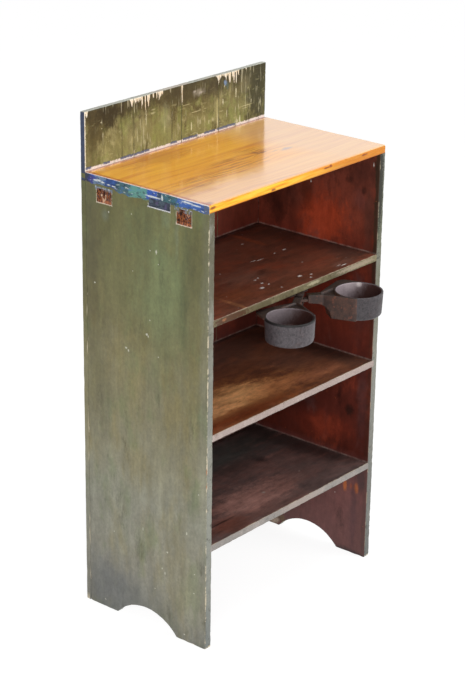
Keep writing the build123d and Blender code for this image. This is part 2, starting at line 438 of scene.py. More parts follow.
def outsidePaint():
    look = outsideLook
    x, y, z = startMaterial("olivePaint", 0.5, 0.35)
    broad = cloud(9, 4, 0.6, (1, 1, 0.5), (3, 1, 0))
    streaks = cloud(80, 5, 0.68, (1, 1, 0.08))
    bands = cloud(24, 4, 0.6, (1, 1, 0.12), (5, 5, 0))
    blotch = cloud(42, 5, 0.7, (1, 1, 0.7), (2, 5, 8))
    mottle = cloud(150, 5, 0.75, (1, 1, 0.8), (0, 5, 0))
    torn = sway(cloud(34, 5, 0.7, (1, 1, 0.5), (6, 2, 1)), 0.5)
    ragged = sway(cloud(420, 4, 0.7), 0.65)
    height = z / sideHigh.z + sway(broad, 0.09)
    colour = ramp(height, look["byHeight"])
    colour = patched(colour, look["ochre"], 0.45, 0.48, 0.7, 15, 5, 0.65, (1, 1, 0.3), (7, 2, 4))
    colour = patched(colour, look["green"], 0.5, 0.5, 0.68, 12, 5, 0.65, (1, 1, 0.5), (2, 8, 1))
    outer = (x > cadLow.x + 0.006) * farAway + z  # off the board on every other face
    onSide = xyz(y, outer)
    colour = stained(colour, onSide, look["marks"], torn, 0.8)
    colour = shade(colour, swing(streaks, 0.1), swing(bands, 0.12), swing(blotch, 0.14),
        swing(mottle, 0.16))
    colour = patched(colour, look["dark"], 0.6, 0.56, 0.74, 30, 6, 0.75, (1, 1, 0.3), (1, 9, 3))
    spots, pick = speckle(75, (1, 1, 0.7))
    small = remap(axesOf(pick)[0], 0.91, 0.94) * remap(spots + ragged * 0.04, 0.05, 0.08, 0.6, 0.0)
    placedSpecks = flecked(onSide, look["specks"], ragged, 0.5)
    colour = mix(anyOf(small, placedSpecks), colour, look["pale"])
    flakes = remap(cloud(130, 3, 0.6, (1, 1, 1), (0, 4, 4)), 0.42, 0.5)
    fleck = cloud(240, 4, 0.7, (1, 1, 0.7), (5, 0, 1))
    # broken paint round each hinge housing, whole below it and bluish above it; the pale band below is partly
    # a painted highlight of the lit lower ledge
    for key, (setback, middle, length, rise) in hingeHousings.items():
        gap = offEdge(y, outer, (frontY + setback, middle), (length / 2, rise / 2))
        rim = falling(gap + ragged * 0.002, 0.0014, 0.0028)
        litLedgeBelow = remap(middle - z, rise * 0.38, rise * 0.5)
        colour = mix(rim * anyOf(litLedgeBelow, flakes * 0.45), colour,
            look["whiteLipWithPaintedLight" if key == "middle" else "lipWithPaintedLight"])
        above = (remap(gap + torn * 0.006, 0.002, 0.0045, 0.85, 0.0)
            * remap(z, middle + rise * 0.3, middle + rise * 0.45))
        colour = mix(above * flakes, colour, mix(remap(fleck, 0.48, 0.6), look["teal"], look["chalk"]))
    underTop = abs(sideHigh.z - outer)
    reach = remap(y, 0.04, 0.06) * falling(y, 0.12, 0.145) * 0.006 + 0.0022
    spill = falling(torn * 0.006 + underTop - reach, -0.001, 0.0006)
    colour = mix(spill * 0.9, colour, endTone(y))
    fromFront = y - frontY
    dashes = (remap(cloud(90, 4, 0.65, (1, 1, 0.8), (0, 0, 11)), 0.53, 0.58)
        * falling(fromFront + ragged * 0.0015, 0.0012, 0.0026))
    worn = anyOf(dashes, stored("chip"))
    rawHere = falling(abs(z - 0.385), 0.018, 0.024) * falling(fromFront, 0.005, 0.007)
    colour = mix(worn, colour, mix(rawHere, look["bare"], look["rawWood"]))
    relief = streaks * 0.7 + mottle * 0.6
    return finishMaterial(colour, evenly(mottle, 0.4, 0.62), relief, 0.0006, 0.55)


edgeTop = 0.9335  # the height at which the tones of the edges end


def edgePaint(name, byHeight, pale, bare, dirt="#3a372d", marks=()):  # narrow faces, rubbed the most
    x, _, z = startMaterial(name, 0.55, 0.3)
    colour = ramp(z / edgeTop, byHeight)
    rub = cloud(50, 6, 0.7, (0.5, 1, 0.25))
    grime = cloud(110, 5, 0.7, (0.6, 1, 0.6), (4, 4, 0))
    fine = cloud(420, 3, 0.6, (0.5, 1, 0.7), (1, 4, 0))
    colour = mix(remap(rub, 0.46, 0.68, 0, 0.55), colour, pale)
    colour = mix(remap(grime, 0.57, 0.7, 0, 0.7), colour, dirt)
    colour = shade(colour, swing(fine, 0.1))
    if marks:
        torn = sway(fine, 0.5)
        colour = stained(colour, xyz(x, z), marks, torn, 0.3)
    colour = mix(stored("chip") * 0.8, colour, bare)
    return finishMaterial(colour, evenly(rub, 0.45, 0.65), grime, 0.0005, 0.5)


splashLook = {  # places along the back from its left end, and heights from the floor
    "byRise": ((0.0, "#7d7a4c"), (0.4, "#767145"), (0.62, "#665e38"), (0.8, "#4b4224"), (1.0, "#393119")),
    "khaki": "#a09a6c", "green": "#7c8148", "brown": "#463c1f", "bare": "#eee4d0", "bareDark": "#cdb997",
    "scratch": "#aca77c", "tick": "#cdc8a6", "blue": "#46506f", "join": "#e4d8cf", "faint": "#aaa387",
    "crack": "#241d10",
    "patches": (  # scale, stretch, shift, where it starts, share, colour
        (26, (1.3, 1, 0.4), (5, 0, 0), 0.48, 0.7, "khaki"), (34, (1, 1, 0.7), (1, 0, 6), 0.48, 0.75, "green"),
        (80, (0.8, 1, 0.7), (2, 0, 9), 0.53, 0.6, "khaki"),
    ),
    "teeth": (  # where the paint has flaked down from the top edge: place, half width, depth
        (4.5, 6, 9), (145.5, 18.5, 7), (136.5, 3, 12), (148.2, 3, 12), (157.5, 2.8, 11), (162.5, 2, 9.5),
        (166.8, 2.2, 24), (176.2, 1.9, 25), (186.2, 4.5, 12), (185, 3.4, 28), (200.2, 2.2, 10),
        (210.5, 1.7, 12), (219.5, 8.8, 8), (218.2, 2.5, 14), (226.5, 3, 10), (286.8, 3, 35), (287, 1.8, 45),
        (403.4, 9.5, 7.5), (403.4, 6.8, 12), (403.6, 4.2, 16.5), (403.4, 2.2, 21), (437, 33, 4.2),
        (425.8, 4.2, 10.5), (425.5, 2.6, 14.5), (438.5, 5.8, 12), (439, 3.8, 17.5), (449.5, 4.2, 15),
        (452, 2.6, 24), (459.7, 2, 26), (467, 2.2, 13.5), (491, 3, 4.5),
    ),
    "faintTeeth": (
        (106, 1.8, 28.5), (124.5, 2.4, 18), (143.7, 2.2, 34), (251.5, 2.2, 10), (479, 3, 24),
        (506, 1.6, 10),
    ),
    "scratches": (
        (493, 988, 17, 0.9), (490, 983, 8, 0.7), (199, 1036, 6, 1.6), (198, 1029, 6, 2),
        (331, 1006, 15, 0.8), (300, 1026, 14, 0.6),
    ),
    "ticks": (
        (317, 977, 1.8, 8.5), (344, 982, 1.3, 5), (372, 976, 1, 5), (385, 979, 1, 4), (401, 972, 1.2, 18),
        (417, 1010, 1.6, 6.5), (430, 983, 1, 9), (178.5, 1022, 1.2, 14), (47.5, 1040, 1.6, 1.6),
        (49, 1027, 1, 1.2), (459, 1022, 1.7, 10.5), (421.5, 1043, 1.6, 3), (457, 957, 1.6, 5),
        (463.5, 958.5, 2, 6), (472.5, 961, 2.2, 8.5), (287, 1001, 1, 7), (256, 959, 1.2, 4),
        (335, 956, 1.4, 6), (510, 995, 1, 4),
    ),
    "marks": (
        (20, 1005, 24, 70, "#5c5030", 0.65), (530, 1020, 40, 80, "#332e14", 0.9),
        (270, 1047, 50, 18, "#3b3117", 0.7), (385, 1042, 25, 18, "#382e16", 0.7),
        (60, 1048, 55, 25, "#2a210a", 0.9), (30, 1020, 25, 30, "#463c1e", 0.7),
        (505, 1050, 30, 16, "#3f3a1e", 0.7), (424.8, 1050.5, 4.5, 5.5, "#6f87a8", 0.9),
        (431.5, 1043, 3, 7, "#4d6058", 0.6), (338, 1046, 16, 6.5, "#8d8676", 0.6),
        (327, 1049, 4, 2.4, "#aaa397", 0.7), (347, 1044, 5, 2.4, "#aaa397", 0.7),
        (240, 1000, 14, 30, "#8f8f6c", 0.45), (490, 1035, 14, 18, "#726a4c", 0.5),
        (225, 978, 30, 20, "#7e7f45", 0.5), (150, 1000, 30, 30, "#8c8760", 0.35),
    ),
    "blueRuns": ((10, 8), (62, 10), (145, 43), (262, 10), (313, 23), (375, 18), (428, 30)),
    "cracks": ((286.5, 0.7), (256.5, 0.5), (107, 0.4), (404, 0.5)),
}


def flakedDepth(along, teeth):  # how far down the paint is gone, each tooth blunt below
    tents = []
    for place, half, depth in map(metres, teeth):
        slope = 2.4 * depth / half
        tents.append(least(abs(along - place) * -slope + slope * half, depth))
    return anyOf(*tents)


def splashPaint():
    look = splashLook
    x, _, z = startMaterial("splashPaint", 0.5, 0.2)
    along = x - cadLow.x
    onBack = xyz(along, z)
    down = crownZ - z
    rise = (z - counterZ) / (crownZ - counterZ)
    wave = cloud(16, 5, 0.7, (0.8, 1, 1.2))
    jag = cloud(300, 4, 0.7, (1, 1, 0.16), (0, 0, 5))
    torn = sway(cloud(60, 5, 0.7, (1, 1, 0.7), (6, 2, 1)), 0.6)
    ragged = sway(cloud(500, 4, 0.7), 0.6)
    colour = ramp(rise + sway(wave, 0.2), look["byRise"])
    lowHalf = remap(rise, 0.55, 0.88, 1.0, 0.12)
    for scale, stretch, shift, low, share, key in look["patches"]:
        here = remap(cloud(scale, 5, 0.7, stretch, shift, 0.3), low, low + 0.16, 0, share) * lowHalf
        colour = mix(here, colour, look[key])
    colour = patched(colour, look["brown"], 0.75, 0.52, 0.68, 34, 6, 0.75, (1, 1, 0.45), (9, 3, 0))
    colour = stained(colour, onBack, look["marks"], torn, 0.6)
    colour = shade(colour, swing(cloud(110, 5, 0.75, (1, 1, 0.3), (0, 0, 3)), 0.2),
        swing(cloud(330, 4, 0.7), 0.15))
    lines = (remap(cloud(190, 3, 0.6, (0.22, 1, 1), (1, 0, 3)), 0.6, 0.68, 0, 0.5)
        * remap(cloud(17, 2, 0.5, shift=(2, 0, 2)), 0.46, 0.56))
    drips = (remap(cloud(280, 2, 0.5, (1, 1, 0.1), (1, 0, 7)), 0.62, 0.69, 0, 0.6)
        * remap(cloud(15, 2, 0.5, (1, 1, 0.4), (6, 0, 6)), 0.48, 0.58))
    fade = remap(torn, -0.5, 0.5, 0.45, 1.0, "LINEAR")
    colour = mix(anyOf(lines, flecked(onBack, look["scratches"], ragged, 0.5)) * lowHalf, colour,
        look["scratch"])
    colour = mix(anyOf(drips, flecked(onBack, look["ticks"], ragged, 0.45)) * fade, colour, look["tick"])
    finger = remap(jag, 0.36, 0.6, 0.55, 1.15, "LINEAR")
    nibble = remap(jag, 0.42, 0.62, -0.0012, 0.0026, "LINEAR")
    lost = flakedDepth(along, look["teeth"]) * finger + nibble
    faint = flakedDepth(along, look["faintTeeth"]) * finger
    teeth = remap(lost - down, -0.0003, 0.0006)
    faintly = remap(faint - down, -0.001, 0.002, 0.0, 0.6)
    colour = mix(faintly, colour, look["faint"])
    leftArris = falling(along + ragged * 0.003, 0.002, 0.0034)
    bareTone = mix(remap(cloud(300, 3, 0.6, (1, 1, 0.3), (3, 0, 0)), 0.3, 0.6), look["bareDark"],
        look["bare"])
    colour = mix(anyOf(teeth, leftArris, stored("chip")), colour, bareTone)
    cracks = []
    for place, half in map(metres, look["cracks"]):
        gap = abs(along - (ragged * 0.0006 + place))
        cracks.append(remap(gap, half, half * 2.2, 0.85, 0.0))
    crack = anyOf(*cracks)
    colour = mix(crack * remap(rise, 0.62, 0.68, 1.0, 0.2), colour, look["crack"])
    above = z - counterZ + sway(jag, 0.0014)
    runs = anyOf(*[falling(abs(along - place), half - 0.002, half + 0.002)
                   for place, half in map(metres, look["blueRuns"])])
    patchy = remap(torn, -0.45, -0.1, 0.3, 1.0)
    colour = mix(falling(above, 0.004, 0.006) * patchy, colour, look["join"])
    colour = mix(runs * (remap(above, 0.0018, 0.0028) * remap(above, 0.0062, 0.008, 0.85, 0.0)), colour,
        look["blue"])
    relief = jag * 0.4 - (teeth * 0.8 + crack)
    return finishMaterial(colour, evenly(wave, 0.42, 0.6), relief, 0.0006, 0.7)


innerLook = {  # marks and specks lie on the right side's inner face, places in y and z
    "byHeight": (
        (0.0, "#6f4642"), (0.21, "#7b4a46"), (0.25, "#5e271c"), (0.48, "#612a21"), (0.53, "#702f22"),
        (0.72, "#763224"), (0.77, "#86402f"), (1.0, "#794134"),
    ),
    "deep": "#3a1712", "bright": "#a9472c", "grey": "#6f5250", "dust": "#9a8b83", "bare": "#b9683a",
    "frontBand": "#2d2b1f", "speck": "#cfc4bc",
    "marks": (
        (42, 770, 62, 55, "#c04c2c", 0.75), (110, 800, 22, 28, "#5e4036", 0.45),
        (80, 810, 16, 35, "#31190f", 0.5), (115, 760, 20, 50, "#4a1c12", 0.4),
        (165, 785, 40, 45, "#32150f", 0.6), (-58, 824, 16, 20, "#6b4542", 0.4),
        (-28, 862, 8, 6, "#2c1812", 0.5), (-68, 847, 5, 9, "#1c0f0c", 0.6),
        # (60, 890) and (-62, 885): darker band right under the top board, painted shade
        (60, 890, 90, 24, "#40201a", 0.7), (-62, 885, 34, 35, "#4a2922", 0.6),
        (-85, 780, 12, 90, "#5b3a31", 0.55), (143, 530, 35, 9, "#8b6459", 0.4),
        (-70, 580, 20, 60, "#53302c", 0.5), (20, 600, 30, 50, "#8a3323", 0.4),
        (120, 600, 40, 70, "#3b1712", 0.55), (-50, 342, 12, 13, "#2a1712", 0.85),
        (-20, 370, 6, 8, "#3a1712", 0.7), (20, 290, 70, 30, "#8c3420", 0.4),
        (90, 360, 50, 60, "#441c18", 0.6), (-85, 360, 12, 90, "#5c3a38", 0.55),
        (-47, 160, 4.5, 11, "#c8703a", 0.85), (-78.5, 162.5, 5.5, 12, "#c8703a", 0.85),
        (-64, 163, 3, 6, "#a4522e", 0.6), (-90, 190, 12, 30, "#3e3134", 0.6),
        (-72, 90, 8, 90, "#4b2b31", 0.5), (-55, -2, 60, 10, "#2d1b18", 0.75),
        (152, 12, 15, 9, "#e0cdb6", 0.9), (128, 21, 10, 8, "#7c6848", 0.75),
        (30, 170, 50, 25, "#8b5a4c", 0.35),
    ),
    "specks": (
        (72, 838.6, 1.8, 2.6), (-91, 907, 1.4, 4), (-10, 150, 1.8, 4), (30, 160, 1.2, 2),
        (-20, 135, 1.2, 1.4), (45, 185, 1, 1.6),
    ),
}


def innerPaint():  # red-brown inside of the sides and the back
    look = innerLook
    x, y, z = startMaterial("innerPaint", 0.45, 0.35)
    broad = cloud(9, 5, 0.65, (1, 1, 0.7), (2, 4, 1), 0.3)
    grain = cloud(110, 5, 0.7, (1, 1, 0.12))
    mottle = cloud(60, 6, 0.75, (1, 1, 0.8), (3, 1, 0))
    torn = sway(cloud(40, 5, 0.7, (1, 1, 0.7), (6, 2, 1)), 0.5)
    ragged = sway(cloud(600, 3, 0.6), 0.4)
    colour = ramp(z, look["byHeight"])
    upper = remap(z, 0.21, 0.24)
    colour = mix(remap(broad, 0.52, 0.7, 0, 0.6) * upper, colour, look["bright"])
    colour = mix(remap(cloud(11, 5, 0.7, (1, 1, 0.5), (8, 0, 3), 0.4), 0.54, 0.72, 0, 0.5)
        * remap(y, rearY - 0.03, rearY - 0.005, 1.0, 0.2), colour, look["grey"])
    colour = patched(colour, look["deep"], 0.65, 0.55, 0.72, 16, 6, 0.72, (1, 1, 0.6), (1, 3, 5))
    rightOnly = xyz((x < 0.2) * farAway + y, z)
    colour = stained(colour, rightOnly, look["marks"], torn, 0.55)
    fromFront = y - frontY
    # the last factor darkens the back wall's face and the walls' last few millimetres before it: painted
    # shade
    colour = shade(colour, swing(grain, 0.12), swing(mottle, 0.2), remap(fromFront, 0.01, 0.06, 0.78, 1.0),
        remap(y, rearY - 0.004, rearY - 0.001, 1.0, 0.8))
    band = falling(fromFront + torn * 0.006, 0.008, 0.014)
    colour = mix(band * remap(z, 0.45, 0.75, 0.25, 0.8), colour, look["frontBand"])
    # pale dust where a wall meets a shelf
    dust = anyOf(*[falling(abs(z - (level + 0.0008)), 0.0012, 0.003) for level in shelfTops])
    fromCorner = rearY - y + (innerX - abs(x))
    inCorner = falling(fromCorner, 0.0008, 0.0024) * remap(mottle, 0.4, 0.6, 0.1, 0.7)
    colour = mix(anyOf(dust, inCorner) * remap(mottle, 0.4, 0.6, 0.15, 0.55), colour, look["dust"])
    spots, pick = speckle(80)
    flecks = remap(axesOf(pick)[1], 0.92, 0.94) * remap(spots, 0.06, 0.1, 0.6, 0.0)
    colour = mix(flecks, colour, look["bare"])
    colour = mix(flecked(rightOnly, look["specks"], ragged), colour, look["speck"])
    return finishMaterial(colour, evenly(broad, 0.36, 0.56), grain + mottle, 0.0004, 0.4)


shelfLooks = {  # each shelf's upper face; marks, specks and scratches are places in x and y
    "lower_shelf": {
        "base": "#5d4c49", "deep": "#3b3231", "bright": "#79564f", "worn": "#8c6156", "speck": "#a18f86",
        "marks": (
            (-50, -25, 100, 40, "#b8877b", 0.7), (-190, -10, 60, 30, "#8f655c", 0.5),
            (40, -30, 80, 30, "#8b655c", 0.5), (120, 80, 14, 20, "#1d1716", 0.8),
            # (30, 160) and (240, 60): darker zones along the back and the right wall, dirt and painted shade
            # under the shelf above
            (-170, -75, 60, 25, "#663626", 0.7), (30, 160, 240, 50, "#3c4441", 0.85),
            (-190, -56, 60, 2.2, "#1a1210", 0.8), (240, 60, 30, 140, "#322a28", 0.75),
            (160, 0, 50, 90, "#4c4341", 0.5), (50, 95, 70, 25, "#40322f", 0.6),
            (180, 105, 50, 30, "#4e4644", 0.6), (-30, -90, 120, 12, "#54403b", 0.5),
        ),
        "specks": ((-4, -30, 4, 3), (130, -20, 2, 2)), "scratches": (),
    },
    "middle_shelf": {
        "base": "#60392a", "deep": "#331e17", "bright": "#784a33", "worn": "#9a6342", "speck": "#b39b86",
        "marks": (
            (-120, -30, 200, 70, "#b0703f", 0.8), (-90, -12, 90, 35, "#f2b578", 0.9),
            (-190, -22, 80, 28, "#eeb078", 0.85), (30, -40, 70, 25, "#bd7d50", 0.75),
            (120, -60, 70, 18, "#a5694a", 0.65), (-140, -85, 130, 18, "#6a2d12", 0.85),
            # (0, 160) and (240, 40): darker zones along the back and the right wall, dirt and painted shade
            # under the shelf above
            (0, 160, 260, 50, "#63463a", 0.75), (-200, 90, 80, 50, "#96694f", 0.6),
            (240, 40, 35, 140, "#3a2a24", 0.8), (150, 30, 60, 50, "#7a5544", 0.55),
        ),
        "specks": (), "scratches": (),
    },
    "upper_shelf": {
        "base": "#734534", "deep": "#462b22", "bright": "#8c4730", "worn": "#9a5a3c", "speck": "#e3dcd6",
        "marks": (
            # (0, 160) and (240, 60): darker zones along the back and the right wall, dirt and painted shade
            # under the shelf above
            (0, 160, 270, 55, "#6c4536", 0.75), (240, 60, 30, 140, "#4a332c", 0.6),
            (-130, 120, 100, 20, "#85442c", 0.5), (-165, -75, 6, 45, "#c98a5c", 0.6),
            (-160, -35, 70, 25, "#7c4a34", 0.6), (-120, -50, 50, 30, "#7a3f1f", 0.45),
            # (0, 200) and (256, 60): narrow dark bands in the back and right-hand corners, painted shade
            (0, 200, 260, 14, "#2a1712", 0.7), (256, 60, 10, 130, "#2c1914", 0.6),
            (160, 125, 50, 20, "#86503c", 0.5), (155, 155, 7, 45, "#a55632", 0.6),
            (100, 90, 20, 50, "#84422a", 0.4), (-40, 15, 50, 30, "#8a6555", 0.45),
            (0, -85, 260, 22, "#52301f", 0.7), (170, -85, 30, 12, "#76584c", 0.5),
            (235, -20, 30, 60, "#4f3c34", 0.6),
        ),
        "specks": (
            (125, 146, 3.4, 2), (126, 58, 2.8, 1.8), (-28, 97, 1.5, 1.5), (-51, 58, 1.8, 1.8),
            (-31, -18, 3.2, 1.8), (-18, -15, 2.6, 1.6), (-36, -40, 2.8, 2), (-57, -58, 4.8, 3.4),
            (-31, -54, 2.4, 2), (-27, -84, 1.8, 1.8), (49, -70, 4.8, 3.4), (59, -91, 2.4, 1.8),
            (120, -20, 1.6, 1.6), (74, -80, 2.4, 2),
        ),
        "scratches": (
            (56, 59, 9, 1.1), (73, 54, 10, 1.2), (158, 58, 4.2, 2.8), (166, -94, 9, 1.4),
            (155, -89, 6, 0.9),
        ),
    },
}

shelfWorn = {"dust": "#8a7d76", "edge": "#b5a791"}


def shelfPaint(name):
    look = shelfLooks[name]
    x, y, z = startMaterial(name + "Paint", 0.42, 0.4)
    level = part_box(name)[1].z
    shift = (level * 7, 2, 0)
    onTop = xyz(x, (z < level - 0.004) * farAway + y)
    grain = cloud(75, 6, 0.7, (0.14, 1, 1), shift, 0.2)
    mottle = cloud(70, 6, 0.75, (0.5, 1, 1), shift)
    broad = cloud(9, 5, 0.65, (0.5, 1.2, 1), shift, 0.5)
    torn = sway(cloud(48, 6, 0.75, (0.45, 1, 1), (4, 4, 4)), 0.65)
    ragged = sway(cloud(420, 4, 0.7), 0.6)
    colour = ramp(broad, ((0.3, look["deep"]), (0.47, look["base"]), (0.62, look["bright"]),
        (0.78, look["base"])))
    colour = stained(colour, onTop, look["marks"], torn, 0.7)
    colour = mix(remap(cloud(24, 6, 0.75, (0.35, 1.2, 1), (6, 1, level * 3), 0.4), 0.58, 0.76, 0, 0.5),
        colour, look["worn"])
    colour = shade(colour, swing(grain, 0.2), swing(mottle, 0.3))
    spots, pick = speckle(60, (1, 1.3, 1), (level * 3, 0, 0))
    dust = remap(axesOf(pick)[0], 0.93, 0.95) * remap(spots, 0.05, 0.11, 0.5, 0.0)
    placedMarks = [dust]
    if look["specks"]:
        placedMarks.append(flecked(onTop, look["specks"], ragged, 0.5))
    if look["scratches"]:
        placedMarks.append(flecked(onTop, look["scratches"], ragged))
    colour = mix(anyOf(*placedMarks), colour, look["speck"])
    corner = falling(least(rearY - y, innerX - abs(x)), 0.0008, 0.0026)
    colour = mix(corner * remap(mottle, 0.4, 0.6, 0.1, 0.4), colour, shelfWorn["dust"])
    fromFront = y - frontY
    rubbed = falling(fromFront, 0.0008, 0.0032) * remap(mottle, 0.42, 0.6, 0.2, 0.9)
    colour = mix(anyOf(rubbed, stored("chip")), colour, shelfWorn["edge"])
    return finishMaterial(colour, evenly(broad, 0.34, 0.52), grain + mottle, 0.0005, 0.5)


pineLook = {
    "rings": ((0.26, "#c06008"), (0.40, "#e68a12"), (0.55, "#fbac22"), (0.76, "#ffc348")),
    # the pale tone to the right is a painted reflection of the white surround; it is also paler towards the
    # front
    "figure": "#9a4608", "stale": "#a8480a", "blush": "#ffb22a", "reflectionAndPaleFront": "#dcb794", "bare": "#eacba0",
    "heart": "#7a3410",
    "knots": ((63, 46, 11, 4), (50, 52, 4, 8)),  # x, y, half width, half depth, of the dark heart
    "stains": (
        (118, 27, 14, 6, "#6f7894", 0.55), (92, 34, 14, 3, "#8b6a63", 0.4), (-250, 200, 8, 5, "#e9c08c", 0.4),
        (-110, 172, 80, 28, "#b3560a", 0.45), (-271, -98, 12, 9, "#7a3a1c", 0.75),
    ),
    "figures": ((-100, 14, 120, 20), (-20, 44, 60, 20), (50, 62, 40, 20), (-200, -12, 60, 14)),
}


def varnishedPine():
    look = pineLook
    x, y, z = startMaterial("varnishedPine", 0.3, 0.6, coat=1.0, coatRoughness=0.12)
    current["shader"].inputs["Coat IOR"].default_value = 1.8
    onTop = xyz(x, (z < topHigh.z - 0.006) * farAway + y)
    knotX, knotY = metres(look["knots"][0][:2])
    dx = x - knotX
    dy = y - knotY
    closeness = calc("EXPONENT", dx * dx * -500.0 + dy * dy * -4200.0)
    bend = cloud(3.2, 3, 0.5, (0.8, 1, 1), (1, 2, 0)) * 0.055
    parted = closeness * 0.012 * remap(dy, -0.004, 0.004, -1.0, 1.0, "LINEAR")
    across = y + bend + parted  # the lines go round the knot
    rings = cloud(80, 3, 0.55, where=xyz(across, x * 0.025))
    fine = cloud(300, 4, 0.6, (0.03, 1, 1), (0, 3, 0))
    blush = cloud(7, 3, 0.5, (0.5, 1.4, 1), (3, 0, 0))
    torn = sway(cloud(90, 5, 0.7, (0.3, 1, 1), (4, 4, 4)), 0.6)
    colour = ramp(rings, look["rings"])
    colour = mix(remap(blush, 0.42, 0.62, 0.15, 0.6), colour, look["blush"])
    figure = flecked(onTop, look["figures"], torn, 0.7)
    lines = cloud(230, 3, 0.6, where=xyz(across, x * 0.04))
    colour = mix(figure * remap(lines, 0.46, 0.58) * 0.65, colour, look["figure"])
    # paler to the right: painted reflection of the white surround; paler towards the front too
    reflectionAndPaleFront = anyOf(remap(x, 0.06, 0.17, 0, 0.5), remap(y, 0.02, -0.05, 0, 0.4))
    colour = mix(reflectionAndPaleFront, colour, look["reflectionAndPaleFront"])
    colour = shade(colour, swing(fine, 0.07))
    colour = mix(flecked(onTop, look["knots"], torn, 0.5) * 0.7, colour, look["heart"])
    colour = stained(colour, onTop, look["stains"], torn, 0.6)
    fromLine = least(rearY - y, x - topLow.x)
    stale = remap(torn * 0.0025 + fromLine, 0.005, 0.0105, 0.9, 0.0) * remap(torn, -0.3, 0.2, 0.5, 1.0)
    colour = mix(stale, colour, look["stale"])  # old varnish, brown along the back and the left end
    colour = mix(stored("chip") * 0.8, colour, look["bare"])
    return finishMaterial(colour, None, fine, 0.0002, 0.2)


pineEdgeLook = {
    "lines": ((0.3, "#d8820e"), (0.45, "#ffad1c"), (0.58, "#ffc43a"), (0.75, "#ffd562")), "foot": "#b0580e",
    "dull": "#c27018", "knot": "#7c2c0c", "bare": "#e9b878",
    "knots": (  # x, z, half width, half height
        (93, 945.2, 5, 3), (83, 944, 10, 1.6), (-90, 937.5, 6, 1.6), (-270, 942.5, 8, 3.4),
        (205, 944, 9, 2),
    ),
}


def orangeEdge():  # the front edge of the top, brighter and duller in varnish than the face
    look = pineEdgeLook
    x, _, z = startMaterial("orangeEdge", 0.4, 0.3)
    lines = cloud(190, 4, 0.6, (0.05, 1, 1), (0, 3, 0), 0.2)
    fine = cloud(320, 4, 0.6, (0.1, 1, 1))
    torn = sway(cloud(160, 5, 0.7, (0.4, 1, 1), (4, 4, 4)), 0.6)
    colour = ramp(lines, look["lines"])
    colour = mix(remap(x, -0.1, 0.18, 0, 0.85), colour, look["dull"])
    colour = mix(remap(z + torn * 0.001, topLow.z + 0.0036, topLow.z + 0.0006, 0, 0.6), colour,
        look["foot"])
    colour = mix(flecked(xyz(x, z), look["knots"], torn, 0.5) * 0.85, colour, look["knot"])
    colour = shade(colour, swing(fine, 0.1))
    colour = mix(stored("chip") * 0.5, colour, look["bare"])
    return finishMaterial(colour, 0.4, lines, 0.0003, 0.4)


def blueEnds():  # worn blue and teal on the end of the top, slate in the middle housing and behind
    look = blueLook
    _, y, z = startMaterial("blueEnds", 0.5, 0.35)
    blotch = cloud(120, 5, 0.7, (1, 0.6, 1), (3, 3, 3))
    ragged = sway(cloud(420, 4, 0.7), 0.5)
    colour = endTone(y)
    colour = mix(flecked(xyz(y, z), look["flakes"], ragged, 0.45) * 0.9, colour, look["white"])
    under = topHigh.z - z
    inTop = falling(abs(z - (topHigh.z - 0.008)), 0.0085, 0.0095) * remap(y, rearY, rearY - 0.001)
    dark, pale, violet = look["housing"]
    slate = mix(remap(blotch, 0.4, 0.6), dark, pale)
    slate = patched(slate, violet, 0.7, 0.55, 0.62, 90, 4, 0.6, shift=(9, 9, 9))
    slate = mix(remap(y, rearY - 0.001, rearY), slate, shade(look["slate"], swing(blotch, 0.3)))
    colour = mix(inTop, slate, colour)
    thick = remap(y, 0.0, -0.05, 0.0015, 0.0028)
    arris = falling(ragged * 0.0012 + under - thick, -0.0004, 0.0004)
    colour = mix(anyOf(arris * inTop, stored("chip")), colour, look["arris"])
    return finishMaterial(colour, 0.5, blotch, 0.0006, 0.6)


crownLook = {
    "rub": ((0.3, "#74756c"), (0.45, "#9a9b92"), (0.7, "#b6b6aa")),
    "patch": "#b5a698", "bare": "#cdc8b8",
}


def greyCrown():  # the worn top edge of the back boards
    startMaterial("greyCrown", 0.6, 0.3)
    rub = cloud(60, 5, 0.7, (0.3, 1, 1))
    patch = remap(cloud(20, 5, 0.7, (0.5, 1, 1), (4, 0, 0)), 0.52, 0.62, 0, 0.6)
    colour = mix(patch, ramp(rub, crownLook["rub"]), crownLook["patch"])
    colour = mix(stored("chip") * 0.5, colour, crownLook["bare"])
    return finishMaterial(colour, 0.6, rub, 0.0005, 0.5)


splinterLook = {
    # the darkest stops are partly painted shade in the gaps between the splinters
    "stops": ((0.36, "#20110e"), (0.43, "#5e2f1b"), (0.47, "#b56a3a"), (0.505, "#2c1611"), (0.545, "#3b414c"),
              (0.58, "#a65b30"), (0.63, "#e6c8a8")),
    "foot": "#c9805c", "head": ("#6b6f52", "#8796ad"),
}


def splinteredWood():  # torn wood in the hinge housings; the dark between its splinters is partly painted shade, the paler foot a painted highlight
    z = startMaterial("splinteredWood", 0.75, 0.2)[2]
    fibre = cloud(300, 5, 0.7, (1, 1, 0.16))
    patch = cloud(150, 4, 0.65, (1, 1, 0.5), (2, 2, 2))
    colour = ramp(patch, splinterLook["stops"])
    # paler foot at the bottom of each housing: painted highlight of the lit lower ledge
    foot = remap(z, 0.9035, 0.899) * remap(fibre, 0.42, 0.55)
    colour = mix(foot * 0.7, colour, splinterLook["foot"])
    head = remap(z, 0.9185, 0.922) * remap(patch, 0.42, 0.5)
    colour = mix(head * 0.85, colour, mix(remap(fibre, 0.45, 0.55), *splinterLook["head"]))
    colour = shade(colour, swing(fibre, 0.25))
    return finishMaterial(colour, 0.75, fibre, 0.001, 0.9)


